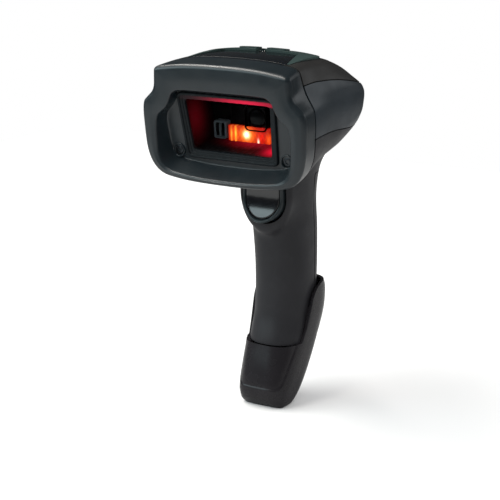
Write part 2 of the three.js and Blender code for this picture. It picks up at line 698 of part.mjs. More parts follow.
function triggerParts() {
  const lever = frontPrism(tongue(TRIGGER_HALF, TRIGGER_FOOT, TRIGGER_HEAD), -9.6, TRIGGER_BACK);
  const ears = [-1, 1].map((side) => solid(block(
    [side > 0 ? 8 : -10.6, -0.2, TRIGGER_HEAD - 6], [side > 0 ? 10.6 : -8, 6, PIVOT.z],
  )));
  const hubs = [-1, 1].map((side) => solid(rod(
    3, [side * 8, PIVOT.y, PIVOT.z], [side, 0, 0], 2.6, 20,
  )));
  const bore = solid(rod(PIVOT.bore, [-12, PIVOT.y, PIVOT.z], [1, 0, 0], 24, 16));
  const padOutline = (grow) => tongue(PAD_HALF + grow, PAD_FOOT - grow, TRIGGER_HEAD - 1.4 + grow);
  const seat = cutBy(
    solid(frontPrism(padOutline(0.35), -12, 0)),
    cutBy(solid(block([-20, -20, 60], [20, 20, 130])), fingerHollow(FINGER_RADIUS + 2)),
  );
  const body = cutBy(joined(solid(lever), ...ears, ...hubs), fingerHollow(FINGER_RADIUS), seat, bore);
  place(row, "trigger", body, TRIGGER_GREY);
  const pad = solid(frontPrism(padOutline(0), -12, 2))
    .intersect(fingerHollow(FINGER_RADIUS + 2 - GAP))
    .subtract(fingerHollow(FINGER_RADIUS + 0.2));
  place(row, "trigger_pad", pad, PAD_GLOSS);
  const pin = rod(PIVOT.pin, [-PIVOT.half, PIVOT.y, PIVOT.z], [1, 0, 0], 2 * PIVOT.half, 16);
  place(row, "trigger_pin", pin, STEEL);
  const spring = place(row, "trigger_spring", coil(2.3, 0.4, 4, 5.2, 10), STEEL);
  spring.rotation.y = Math.PI / 2;
  spring.position.set(-2.6, PIVOT.y, PIVOT.z);
}
triggerParts();

const SWITCH = { z: 96, front: 6, back: 9.4, half: 3.1 };

function switchParts() {
  place(row, "trigger_board", block([-8, 9.7, 88], [8, 10.9, 106]), BOARD_GREEN);
  const { z, half, front, back } = SWITCH;
  const body = cutBy(
    solid(block([-half, front, z - half], [half, back, z + half])),
    solid(rod(2, [0, front - 1, z], [0, 1, 0], 3.6, 20)),
  );
  place(row, "trigger_switch", body, BLACK_PLASTIC);
  const plunger = rod(1.6, [0, TRIGGER_BACK + 0.35, z], [0, 1, 0], 3, 20);
  place(row, "switch_plunger", plunger, IVORY);
}
switchParts();

// ---------------------------------------------------------------- scan engine
const ENGINE = { left: -11.6, right: 13, front: 26, back: 37, low: -19, high: 3 };
const LENS = { x: 3.8, z: -5.4, half: 5.4, front: 23.6 };

function enginePart(name, shape, material) {
  return place(head, name, shape, material);
}

function engineParts() {
  const { left, right, front, back, low, high } = ENGINE;
  enginePart("engine_housing", block([left, front + GAP, low], [right, back, high]), BLACK_PLASTIC);
  const square = roundedRectangle(LENS.half, LENS.half, 0.22, LENS);
  const barrel = solid(rod(4.2, [LENS.x, LENS.front - 1, LENS.z], [0, 1, 0], 2.4, 28));
  enginePart("lens_holder", cutBy(solid(frontPrism(square, LENS.front, front)), barrel), BLACK_PLASTIC);
  const [radius, edge, steps] = [6, 0.68, 4];
  const lensProfile = [new THREE.Vector2(0, 0)];
  for (let s = 0; s <= steps; s += 1) {
    const angle = edge * (1 - s / steps);
    const rise = radius * (Math.cos(angle) - Math.cos(edge));
    lensProfile.push(new THREE.Vector2(radius * Math.sin(angle), rise));
  }
  const lens = enginePart("camera_lens", new THREE.LatheGeometry(lensProfile, 16), LENS_GLASS);
  lens.rotation.x = Math.PI;
  lens.position.set(LENS.x, LENS.front + 1.3, LENS.z);
  const guide = roundedRectangle(11, 3.5, 0.1, { z: -14.8 });
  const guideSolid = solid(frontPrism(guide, 23, 25.6));
  const lampPockets = [-1.3, 7.4].map((x) => solid(block([x - 1.8, 24.2, -16], [x + 1.8, 27, -12.4])));
  enginePart("light_guide", cutBy(guideSolid, ...lampPockets), RED_GUIDE);
  [["left", -1.3], ["right", 7.4]].forEach(([side, x]) => {
    const lamp = block([x - 1.4, 24.6, -15.6], [x + 1.4, front, -12.8]);
    enginePart(`illumination_led_${side}`, lamp, LAMP);
  });
  const box = roundedRectangle(3.4, 4.2, 0.15, { x: -15.8, z: -12.2 });
  const eye = solid(rod(1.9, [-15.8, 22, -12.2], [0, 1, 0], 3, 20));
  enginePart("aimer_module", cutBy(solid(frontPrism(box, 23, 33)), eye), BLACK_PLASTIC);
  enginePart("engine_board", block([-19, 37.3, -19.4], [16, 38.5, 5]), BOARD_GREEN);
  const plate = solid(block([-22, 38.8, -20.4], [22, 40, 7]));
  const feet = solid(block([-22, 38.8, -20.4], [22, 47, -19.2]));
  const window = solid(block([-6, 30, -10], [6, 50, 0]));
  enginePart("engine_bracket", cutBy(joined(plate, feet), window), CHASSIS);
}
engineParts();

// ---------------------------------------------------------------- boards in the head
function headElectronics() {
  const boardLow = 8.6;
  enginePart("main_board", block([-23, 30, boardLow], [23, 58, boardLow + 1.6]), BOARD_GREEN);
  enginePart("decoder_chip", block([4, 40, boardLow + 1.9], [16, 52, boardLow + 3.3]), CHIP_BLACK);
  enginePart("radio_module", block([-19, 44, boardLow + 1.9], [-7, 56, boardLow + 3.9]), CHASSIS);
  const buzzer = rod(5, [-14, 36.4, boardLow + 1.9], [0, 0, 1], 3.6, 28);
  enginePart("buzzer", buzzer, BLACK_PLASTIC);
  enginePart("status_led", block([-1.4, 34, boardLow + 1.9], [1.4, 37, boardLow + 3.4]), LAMP);
  const ribbon = [
    [40.6, -3], [42, -1.6], [44, 2], [45, 7.6], [44.6, 7.6], [43.6, 2.4], [41.6, -1.2], [40.3, -2.6],
  ];
  enginePart("flex_cable", sidePrism(ribbon, 4.5), RIBBON);
}
headElectronics();

// ---------------------------------------------------------------- power
const CELL = { y: 16.2, low: 34, high: 84, radius: 8.1 };

function powerParts() {
  const { y, low, high, radius } = CELL;
  const profile = [
    [0, low], [radius - 0.6, low], [radius, low + 0.6], [radius, high - 0.6],
    [radius - 0.6, high], [3, high], [3, high + 1], [0, high + 1],
  ];
  const cell = new THREE.LatheGeometry(profile.map(([r, z]) => new THREE.Vector2(r, z)), 28);
  place(row, "battery_cell", cell.rotateX(Math.PI / 2).translate(0, y, 0), CELL_WRAP);
  place(row, "battery_contact", block([-6, y - 4, high + 1.3], [6, y + 4, high + 2]), BRASS);
  const lead = [[2, y + 2.6, high + 2.7], [4, y + 4.4, 92], [4, y + 4, 108], [5, 12, 128], [6, 8, 146]];
  place(row, "battery_lead", sweep(lead, 0.8, 12, 6), LEAD_RED);
}
powerParts();

// ---------------------------------------------------------------- boot
function bootParts() {
  const heights = [BOOT_BASE, -1.6, -0.8, 0, 1.2, 2.4, 4, 6, 10, 15, 21, 28, 35, 43, 51, 57];
  const outer = bootForm(BOOT_SECTIONS, heights);
  const inner = bootForm(BOOT_HOLLOW, [9, 18, 28, 35, 43, 51, 58]);
  const overRim = solid(sidePrism([...BOOT_RIM, [45, 90], [-20, 90]], 60));
  const screwSpot = { y: 27, z: 19 };
  const screwPocket = solid(rod(2.9, [0, screwSpot.y - 1.9, screwSpot.z], [0, 1, 0], 12, 20));
  const contactSpots = [["left", -4], ["right", 4]];
  const contactPockets = contactSpots.map(([, x]) => (
    solid(rod(1.9, [x, 0, BOOT_BASE - 1], [0, 0, 1], 4, 20))
  ));
  const boot = cutBy(outer, inner, overRim, screwPocket, ...contactPockets);
  place(row, "battery_cap", boot, BOOT_GREY);
  const capScrew = place(row, "cap_screw", screw(2.5, 1.6, 1.2, 0.3), STEEL);
  capScrew.rotation.z = Math.PI;
  capScrew.position.set(0, screwSpot.y + 0.3, screwSpot.z);
  for (const [side, x] of contactSpots) {
    place(row, `charge_contact_${side}`, rod(1.6, [x, 0, BOOT_BASE + 0.4], [0, 0, 1], 2.2, 20), BRASS);
  }
  const tail = place(row, "battery_spring", coil(3.9, 0.5, 5, 22.6, 10), STEEL);
  tail.position.set(0, CELL.y - 5.4, 10.2);
  const sealHeight = 19;
  const plug = sectionAt(GRIP_SECTIONS, sealHeight);
  const around = (grow, z) => superellipse(
    plug.centre, plug.width + grow, plug.depth + grow, GRIP_SHAPE, GRIP_SIDES,
  ).map(([x, y]) => new THREE.Vector3(x, y, z));
  const ring = solid(loft([around(1.2, sealHeight - 0.6), around(1.2, sealHeight + 0.6)]));
  const core = solid(loft([around(0.3, sealHeight - 1), around(0.3, sealHeight + 1)]));
  place(row, "cap_seal", cutBy(ring, core), RUBBER);
}
bootParts();

const scanner = new THREE.Group();
scanner.add(row);

export default scanner;
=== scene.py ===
import json
import math

import bmesh
import bpy
import numpy as np
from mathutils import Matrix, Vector

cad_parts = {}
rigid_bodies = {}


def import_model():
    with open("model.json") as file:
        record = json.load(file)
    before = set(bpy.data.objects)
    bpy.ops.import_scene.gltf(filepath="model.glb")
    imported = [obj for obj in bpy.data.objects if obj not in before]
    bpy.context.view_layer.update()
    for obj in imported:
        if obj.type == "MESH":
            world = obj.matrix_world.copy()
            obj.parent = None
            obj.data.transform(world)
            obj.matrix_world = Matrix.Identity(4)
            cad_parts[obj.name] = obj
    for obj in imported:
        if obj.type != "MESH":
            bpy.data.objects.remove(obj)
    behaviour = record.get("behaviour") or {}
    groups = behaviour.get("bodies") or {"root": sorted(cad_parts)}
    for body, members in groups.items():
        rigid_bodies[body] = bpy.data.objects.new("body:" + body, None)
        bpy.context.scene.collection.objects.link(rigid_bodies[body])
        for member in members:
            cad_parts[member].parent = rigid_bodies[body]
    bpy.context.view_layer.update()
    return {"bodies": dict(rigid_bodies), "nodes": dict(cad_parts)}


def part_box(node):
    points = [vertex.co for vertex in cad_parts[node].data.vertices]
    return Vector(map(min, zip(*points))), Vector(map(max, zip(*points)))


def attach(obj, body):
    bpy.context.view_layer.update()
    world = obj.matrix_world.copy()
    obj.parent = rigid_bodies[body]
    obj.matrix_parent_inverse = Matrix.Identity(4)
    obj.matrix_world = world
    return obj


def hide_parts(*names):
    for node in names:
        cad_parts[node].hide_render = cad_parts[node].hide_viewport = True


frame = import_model()

MM = 0.001
PI = math.pi
LIFT = 2.3  # millimetres from the boot's base up to the zero height of the tables below

# ---------------- dimensions, in millimetres
GAP = 0.3
HEAD_ORIGIN = np.array([0.0, -40.0, 142.5])
HEAD_PITCH = math.radians(4)
BEZEL_DEPTH = 14.0
HEAD_LENGTH = 81.5
HEAD_SECTIONS = np.array([
    (0, 43, 22.4, -31.6), (14, 40.6, 23.5, -32), (30, 39, 23.1, -30.2), (44, 38.4, 21.4, -27.4),
    (56, 37.6, 17, -23.8), (66, 35.8, 11.4, -19.6), (74, 32, 5.8, -14.4), (79.5, 23.4, 1.4, -9),
    (81.5, 14, 0.6, -6),
], float)
BEZEL_OUTLINE = np.array([
    (.4, 1, .48), (.825, .89, .2), (.84, .42, .3), (1, .14, .25), (.957, -.905, .5), (.42, -1, .45),
])
BODY_OUTLINE = np.array([
    (.37, 1, .45), (.74, .915, .3), (.95, .5, .35), (1, -.02, .4), (.94, -.7, .45), (.45, -1, .45),
])
UPPER_SEAM = np.array([(14, 13.6), (24, 13.6), (39, 11.8), (55, 8.4), (67, 5.2), (81, 2.4)])
LOWER_SEAM = np.array([(14, -9.5), (35, -10.3), (48, -12), (58, -13), (68, -12.4), (81, -10)])
GRIP_SECTIONS = np.array([
    (12, 7.6, 10.8, 10.6), (26.4, 12, 12, 12.2), (27.6, 12.5, 13.8, 14.3), (42, 16.8, 13.9, 14.6),
    (62, 17.7, 14, 14.9), (82, 16.4, 14.4, 15.7), (97, 14.1, 14.9, 16.3), (108, 11.5, 17, 18),
    (116, 9.5, 20, 20.5), (126, 8, 27, 25),
], float)
GRIP_SHAPE = 2.3
GRIP_REACH = 45  # farther from the grip's centre line than its skin ever is
GRIP_SEAM_BACK = 3.0
GRIP_SEAM_TOP = 110.5
BOOT_SECTIONS = np.array([
    (-2.3, -4.8, 5.2, 10.6, 4.2), (-1.6, -5.6, 6.8, 11.4, 4.2), (0, -7.2, 9.6, 12.1, 4),
    (2.4, -8.6, 13, 12.6, 3.8), (6, -9.5, 16.9, 13.1, 3.6), (15, -7.7, 23.5, 14.1, 3.2),
    (28, -3.7, 30.8, 15.3, 2.8), (41, 0, 36.2, 16.5, 2.6), (51, 2.4, 37, 16.5, 2.6),
    (57, 3, 35, 15.9, 2.6),
])
BOOT_RIM = np.array([
    (-20, 28), (7, 28), (10, 31), (13, 41), (16, 49), (21, 53.5), (30, 55), (45, 54.4),
], float)
WINDOW_LEAN = math.radians(7.8)
WINDOW_CENTRE = np.array([0.0, 6.6, -6.8])
WINDOW_HALF = (21.5, 12.1)
WINDOW_TAPER = 0.9
RECESS_RIM = np.array([
    (22.4, 10.4, .25), (26, 8.2, .3), (28.8, 2, .3), (35.4, -3, .3), (34.8, -26.6, .45),
    (14, -29.4, .45),
])
RECESS_FLOOR = np.array([
    (22, 15.9, .2), (25.7, 15.7, .2), (26.6, 11.5, .2), (33.4, 4.2, .3), (32.2, -16.0, .42),
    (14, -18.4, .45),
])
SEAM_GAP = 0.22
HEAD_WALL, GRIP_WALL, BOOT_WALL = 1.6, 1.7, 1.5
CROWN_HALF, CROWN_FROM, CROWN_TO = 27.0, BEZEL_DEPTH + GAP, 52.0
BAR_FROM, BAR_TO, BAR_HALF, BAR_NOTCH, BAR_RISE = 36.6, 41.0, 12.4, 2.3, 1.8
TRIM_FRONT, TRIM_BACK, TRIM_TIP, TRIM_TAIL = 15.0, 43.0, 1.0, 20.0
TRIM_RISE = (0.2, 1.1)
SURROUND = {"half": 14.1, "foot": 82.0, "head": 122.0, "front": -3.4, "reach": 20.0}
OPENING = {"half": 12.1, "foot": 87.2, "head": 109.2}
TRIGGER_HALF, TRIGGER_FOOT, TRIGGER_HEAD = 11.0, 88.2, 108.6
PAD_HALF, PAD_FOOT = 9.0, 90.3
FINGER_RADIUS, FINGER_Y, FINGER_Z = 24.0, -28.6, 101.0
LENS_X, LENS_Z, LENS_HALF = 3.8, -5.4, 5.4
GUIDE_Z, GUIDE_HALF_X, GUIDE_HALF_Z = -13.9, 11.0, 4.4
ENGINE_MIDDLE, AIMER_MIDDLE = (0.7, -8.0), (-15.8, -12.2)


# ---------------- curves and sections
def section(table, at):
    """Fields of a section table at positions `at`, smooth between its rows."""
    at = np.clip(np.asarray(at, float), table[0, 0], table[-1, 0])
    last = len(table) - 1
    i = np.clip(np.searchsorted(table[:, 0], at, side="right") - 1, 0, last - 1)
    before = np.maximum(np.arange(last + 1) - 1, 0)
    after = np.minimum(np.arange(last + 1) + 1, last)
    slope = (table[after, 1:] - table[before, 1:]) / (table[after, 0] - table[before, 0])[:, None]
    span = (table[i + 1, 0] - table[i, 0])[..., None]
    t = (at[..., None] - table[i, 0][..., None]) / span
    ease = t * t * (3 - 2 * t)
    value = table[i, 1:] * (1 - ease) + table[i + 1, 1:] * ease
    value += span * t * (1 - t) ** 2 * slope[i] + span * t * t * (t - 1) * slope[i + 1]
    return np.moveaxis(value, -1, 0)


def smoothstep(x, low, high):
    t = np.clip((x - low) / (high - low), 0, 1)
    return t * t * (3 - 2 * t)


def mirrored(half):
    return np.vstack([half, (half * (-1, 1, 1))[::-1]])


def rounded_ring(corners, arc=8, side=4):
    """Closed ring of points: corners rounded by parabolas, straight sides divided."""
    points = []
    for i, corner in enumerate(corners):
        before, after = corners[i - 1], corners[(i + 1) % len(corners)]
        start = corner[:2] + (before[:2] - corner[:2]) * corner[2]
        end = corner[:2] + (after[:2] - corner[:2]) * corner[2]
        onward = after[:2] + (corner[:2] - after[:2]) * after[2]
        for t in np.linspace(0, 1, arc + 1):
            points.append(start * (1 - t) ** 2 + corner[:2] * 2 * t * (1 - t) + end * t * t)
        for t in np.linspace(0, 1, side + 2)[1:-1]:
            points.append(end + (onward - end) * t)
    return np.array(points)


def rectangle(half_x, half_z, soft, taper=0.0, x=0.0, z=0.0):
    return np.array([
        (x + half_x + taper, z + half_z, soft), (x + half_x - taper, z - half_z, soft),
        (x - half_x + taper, z - half_z, soft), (x - half_x - taper, z + half_z, soft),
    ])


def by_angle(ring, angles, centre):
    """Radius of a closed ring seen from a centre, at the given angles."""
    offset = ring - centre
    turn = np.arctan2(offset[:, 1], offset[:, 0])
    order = np.argsort(turn)
    turn, reach = turn[order], np.hypot(offset[:, 0], offset[:, 1])[order]
    turn = np.concatenate([turn[-1:] - 2 * PI, turn, turn[:1] + 2 * PI])
    reach = np.concatenate([reach[-1:], reach, reach[:1]])
    return np.interp(angles, turn, reach)


def polar_ring(ring, angles, centre):
    reach = by_angle(ring, angles, centre)
    return np.stack([centre[0] + reach * np.cos(angles), centre[1] + reach * np.sin(angles)], -1)


def head_outline(depth, arc=8, side=4):
    width, top, bottom = section(HEAD_SECTIONS, depth)
    share = smoothstep(depth, 2, 34)
    half = BEZEL_OUTLINE * (1 - share) + BODY_OUTLINE * share
    z = np.where(half[:, 1] > 0, half[:, 1] * top, -half[:, 1] * bottom)
    return rounded_ring(mirrored(np.stack([half[:, 0] * width, z, half[:, 2]], -1)), arc, side)


def tilted(points, angle):
    """Points turned about the X axis."""
    c, s = math.cos(angle), math.sin(angle)
    x, y, z = np.moveaxis(np.asarray(points, float), -1, 0)
    return np.stack([x, y * c - z * s, y * s + z * c], -1)


def to_row(points):
    return tilted(points, HEAD_PITCH) + HEAD_ORIGIN


def to_head(points):
    return tilted(points - HEAD_ORIGIN, -HEAD_PITCH)


def on_window(points):
    """Window-plane points (x, depth behind the plane, height) in the head's own axes."""
    return tilted(points, WINDOW_LEAN) + WINDOW_CENTRE


def to_window(points):
    return tilted(points - WINDOW_CENTRE, -WINDOW_LEAN)


# ---------------- surfaces as fields
TABLE_DEPTHS = np.linspace(-2, HEAD_LENGTH, 168)
TABLE_ANGLES = np.linspace(-PI, PI, 721)


def head_middle(depth):
    _, top, bottom = section(HEAD_SECTIONS, depth)
    return (top + bottom) / 2


HEAD_TABLE = np.array([
    by_angle(head_outline(depth, 14, 12), TABLE_ANGLES, (0, float(head_middle(depth))))
    for depth in TABLE_DEPTHS
])
DOME = 1.2


def head_field(points):
    """Signed distance, roughly, to the head's skin; points in the head's own axes."""
    x, y, z = np.moveaxis(points, -1, 0)
    depth = np.clip(y, TABLE_DEPTHS[0], HEAD_LENGTH)
    middle = head_middle(depth)
    radius = np.hypot(x, z - middle)
    u = (depth - TABLE_DEPTHS[0]) / (TABLE_DEPTHS[1] - TABLE_DEPTHS[0])
    v = (np.arctan2(z - middle, x) + PI) / (TABLE_ANGLES[1] - TABLE_ANGLES[0])
    i = np.clip(u.astype(int), 0, len(TABLE_DEPTHS) - 2)
    j = np.clip(v.astype(int), 0, len(TABLE_ANGLES) - 2)
    fu, fv = u - i, v - j
    reach = (HEAD_TABLE[i, j] * (1 - fu) + HEAD_TABLE[i + 1, j] * fu) * (1 - fv)
    reach += (HEAD_TABLE[i, j + 1] * (1 - fu) + HEAD_TABLE[i + 1, j + 1] * fu) * fv
    beyond = np.maximum(y - HEAD_LENGTH, 0) / DOME
    reach = reach * np.sqrt(np.maximum(1 - beyond ** 2, 0))
    return radius - reach + np.maximum(beyond - 1, 0) * DOME


def grip_field(points):
    x, y, z = np.moveaxis(points, -1, 0)
    centre, width, depth = section(GRIP_SECTIONS, z)
    form = (np.abs(x / width) ** GRIP_SHAPE + np.abs((y - centre) / depth) ** GRIP_SHAPE)
    side = (form ** (1 / GRIP_SHAPE) - 1) * np.minimum(width, depth)
    return smooth_max(side, z - 127, 4)


def tongue_field(x, z, half, foot, reach):
    middle = foot + reach
    low = np.hypot(x / half, np.minimum(z - middle, 0) / reach)
    return (low - 1) * half


def surround_field(points):
    x, y, z = np.moveaxis(points, -1, 0)
    outline = tongue_field(x, z, SURROUND["half"], SURROUND["foot"], SURROUND["reach"])
    ahead = SURROUND["front"] - y
    return smooth_max(smooth_max(outline, ahead, 3.4), np.maximum(y - 16, z - SURROUND["head"]), 2)


def smooth_min(a, b, k):
    h = np.clip(0.5 + 0.5 * (b - a) / k, 0, 1)
    return b * (1 - h) + a * h - k * h * (1 - h)


def smooth_max(a, b, k):
    return -smooth_min(-a, -b, k)


def body_field(points):
    """Grip, trigger surround and the underside of the head as one blended surface."""
    head = head_field(to_head(points))
    grip = smooth_min(grip_field(points), surround_field(points), 3.5)
    return smooth_min(head, grip, 7)


def cast(field, origins, directions, reach=72.0, step=1.0):
    """Where rays from inside leave a field."""
    origins, directions = np.broadcast_arrays(np.asarray(origins, float), directions)
    shape = origins.shape
    origins, directions = origins.reshape(-1, 3), directions.reshape(-1, 3)
    found = np.full(len(origins), reach)
    open_rays = np.arange(len(origins))
    distance = 0.0
    while distance <= reach and len(open_rays):
        value = field(origins[open_rays] + directions[open_rays] * distance)
        out = value > 0
        found[open_rays[out]] = distance
        open_rays = open_rays[~out]
        distance += step
    low, high = np.maximum(found - step, 0), found.copy()
    for _ in range(18):
        middle = (low + high) / 2
        out = field(origins + directions * middle[:, None]) > 0
        high = np.where(out, middle, high)
        low = np.where(out, low, middle)
    return (origins + directions * ((low + high) / 2)[:, None]).reshape(shape)


# ---------------- mesh builders
def grid_faces(rows, columns, wrap=False, keep=None):
    faces = []
    for r in range(rows - 1):
        for c in range(columns if wrap else columns - 1):
            if keep is not None and not keep[r, c]:
                continue
            d = (c + 1) % columns
            faces.append((r * columns + c, r * columns + d, (r + 1) * columns + d, (r + 1) * columns + c))
    return faces


def trim_sheet(points, faces, distance, project):
    """Cuts away the part of a sheet where distance is negative, along a clean edge."""
    points = points.copy()
    value = distance(points)
    edges = set()
    for face in faces:
        for a, b in zip(face, face[1:] + face[:1]):
            edges.add((min(a, b), max(a, b)))
    edges = np.array(sorted(edges))
    a, b = edges[:, 0], edges[:, 1]
    crossing = value[a] * value[b] < 0
    a, b = a[crossing], b[crossing]
    t = value[a] / (value[a] - value[b])
    spot = points[a] + (points[b] - points[a]) * t[:, None]
    nearer = np.where(t <= 0.5, a, b)
    travel = np.linalg.norm(spot - points[nearer], axis=1)
    for k in np.argsort(-travel):
        points[nearer[k]] = spot[k]
        value[nearer[k]] = 0
    on_edge = np.unique(nearer)
    points[on_edge] = project(points[on_edge])
    kept = []
    for face in faces:
        v = value[list(face)]
        if v.min() < 0 < v.max() and len(face) == 4:
            f = face if v[0] == 0 else face[1:] + face[:1]
            pieces = [(f[0], f[1], f[2]), (f[0], f[2], f[3])]
        else:
            pieces = [face]
        for piece in pieces:
            w = value[list(piece)]
            if w.max() > 0 or (w.max() == 0 and w.min() == 0
                               and distance(points[list(piece)].mean(0)[None])[0] > 0):
                kept.append(piece)
    return points, kept


def sheet_normals(points, faces):
    normals = np.zeros_like(points)
    for face in faces:
        p = points[list(face)]
        n = np.cross(p[2] - p[0], p[-1] - p[1]) if len(face) == 4 else np.cross(p[1] - p[0], p[2] - p[0])
        for v in face:
            normals[v] += n
    return normals / np.maximum(np.linalg.norm(normals, axis=1), 1e-12)[:, None]


def thicken(points, faces, inside, depth):
    """Closed shell from an outer sheet; `inside` is a point on its inner side."""
    normals = sheet_normals(points, faces)
    used = sorted({v for face in faces for v in face})
    if np.sum(normals[used] * (points[used] - inside)) < 0:
        faces = [tuple(reversed(face)) for face in faces]
        normals = -normals
    depth = np.broadcast_to(np.asarray(depth, float), (len(points),))
    inner = points - normals * depth[:, None]
    return joined_sheets(points, inner, faces)


def joined_sheets(outer, inner, faces):
    count = len(outer)
    edges = {}
    for face in faces:
        for a, b in zip(face, face[1:] + face[:1]):
            edges[(a, b)] = edges.get((a, b), 0) + 1
    rim = [(a, b) for a, b in edges if (b, a) not in edges]
    solid = list(faces) + [tuple(v + count for v in reversed(face)) for face in faces]
    solid += [(b, a, a + count, b + count) for a, b in rim]
    return np.vstack([outer, inner]), solid


ROUNDED_FROM = math.radians(40)


def make(name, points, faces, material, node=None, body="housing", bevel=0.0, segments=2,
         head=False, sharp=50):
    """Piece from millimetre points, riding on a body and standing in for a CAD node."""
    if head:
        points = to_row(points)
    used = sorted({v for face in faces for v in face})
    place = {v: i for i, v in enumerate(used)}
    mesh = bpy.data.meshes.new(name)
    metres = (points[used] + (0, 0, LIFT)) * MM
    mesh.from_pydata(metres.tolist(), [], [tuple(place[v] for v in face) for face in faces])
    bm = bmesh.new()
    bm.from_mesh(mesh)
    bmesh.ops.remove_doubles(bm, verts=bm.verts, dist=1e-6)
    bmesh.ops.dissolve_degenerate(bm, edges=bm.edges, dist=1e-7)
    bmesh.ops.recalc_face_normals(bm, faces=bm.faces)
    bm.to_mesh(mesh)
    bm.free()
    mesh.shade_smooth()
    mesh.set_sharp_from_angle(angle=math.radians(sharp))
    mesh.materials.append(material)
    obj = bpy.data.objects.new(name, mesh)
    bpy.context.scene.collection.objects.link(obj)
    if bevel:
        rounding = obj.modifiers.new("rounding", "BEVEL")
        rounding.width = bevel * MM
        rounding.segments = segments
        rounding.limit_method = "ANGLE"
        rounding.angle_limit = ROUNDED_FROM
        rounding.harden_normals = True
    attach(obj, body)
    if node:
        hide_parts(node)
    # Blender adds a number to a name that a CAD material already has
    return obj


def make_wall(name, sheet, inside, depth, material, node=None, **look):
    """Wall of an even depth behind a grid of points."""
    points, faces = thicken(sheet.reshape(-1, 3), grid_faces(*sheet.shape[:2]), inside, depth)
    make(name, points, faces, material, node, **look)


def paint_glow(obj, glow):
    """Stores a glow colour on every point, from its place in the head's own axes."""
    spots = to_head(np.array([v.co for v in obj.data.vertices]) / MM - (0, 0, LIFT))
    values = np.ones((len(spots), 4))
    values[:, :3] = glow(spots)
    obj.data.attributes.new("glow", "FLOAT_COLOR", "POINT").data.foreach_set("color", values.ravel())


def loft(rows, ends="caps", wrap=True):
    """Points and faces through rows of equal length; ends closed by caps, or joined up."""
    rows = [np.asarray(row, float) for row in rows]
    count = len(rows[0])
    points = np.vstack(rows)
    faces = grid_faces(len(rows), count, wrap)
    if ends == "loop":
        last = (len(rows) - 1) * count
        faces += [(last + c, last + (c + 1) % count, (c + 1) % count, c) for c in range(count)]
    if ends == "caps":
        hubs = np.array([rows[0].mean(0), rows[-1].mean(0)])
        start, last = len(points), (len(rows) - 1) * count
        points = np.vstack([points, hubs])
        faces += [(start, (c + 1) % count, c) for c in range(count)]
        faces += [(start + 1, last + c, last + (c + 1) % count) for c in range(count)]
    return points, faces


# ---------------- materials
class Nodes:
    """Small helper for building one material's node tree."""

    def __init__(self, name):
        self.material = bpy.data.materials.new(name)
        self.material.use_nodes = True
        self.tree = self.material.node_tree
        self.tree.nodes.clear()
        self.output = self.add("ShaderNodeOutputMaterial")
        self.spot = self.add("ShaderNodeTexCoord").outputs["Object"]

    def add(self, kind, **settings):
        node = self.tree.nodes.new(kind)
        for key, value in settings.items():
            setattr(node, key, value)
        return node

    def link(self, source, target):
        self.tree.links.new(source, target)

    def fill(self, node, values):
        for key, value in values.items():
            node.inputs[key].default_value = value

    def noise(self, scale, detail=3.0, rough=0.55, stretch=None):
        texture = self.add("ShaderNodeTexNoise")
        self.fill(texture, {"Scale": scale, "Detail": detail, "Roughness": rough})
        if stretch:
            mapping = self.add("ShaderNodeMapping")
            mapping.inputs["Scale"].default_value = stretch
            self.link(self.spot, mapping.inputs["Vector"])
            self.link(mapping.outputs["Vector"], texture.inputs["Vector"])
        else:
            self.link(self.spot, texture.inputs["Vector"])
        return texture.outputs["Fac"]

    def remap(self, source, low, high, to_low, to_high):
        node = self.add("ShaderNodeMapRange")
        self.fill(node, {"From Min": low, "From Max": high, "To Min": to_low, "To Max": to_high})
        self.link(source, node.inputs["Value"])
        return node.outputs["Result"]

    def mix(self, share, first, second):
        node = self.add("ShaderNodeMix", data_type="RGBA")
        for source, socket in ((first, node.inputs[6]), (second, node.inputs[7])):
            if isinstance(source, tuple):
                socket.default_value = (*source, 1)
            else:
                self.link(source, socket)
        if isinstance(share, float):
            node.inputs[0].default_value = share
        else:
            self.link(share, node.inputs[0])
        return node.outputs[2]

    def bump(self, height, strength, distance, after=None):
        node = self.add("ShaderNodeBump")
        self.fill(node, {"Strength": strength, "Distance": distance})
        self.link(height, node.inputs["Height"])
        if after is not None:
            self.link(after, node.inputs["Normal"])
        return node.outputs["Normal"]


def scaled(colour, factor):
    return tuple(min(channel * factor, 1.0) for channel in colour)


def linear(red, green, blue):
    def channel(value):
        value /= 255
        return value / 12.92 if value <= 0.04045 else ((value + 0.055) / 1.055) ** 2.4
    return tuple(channel(v) for v in (red, green, blue))


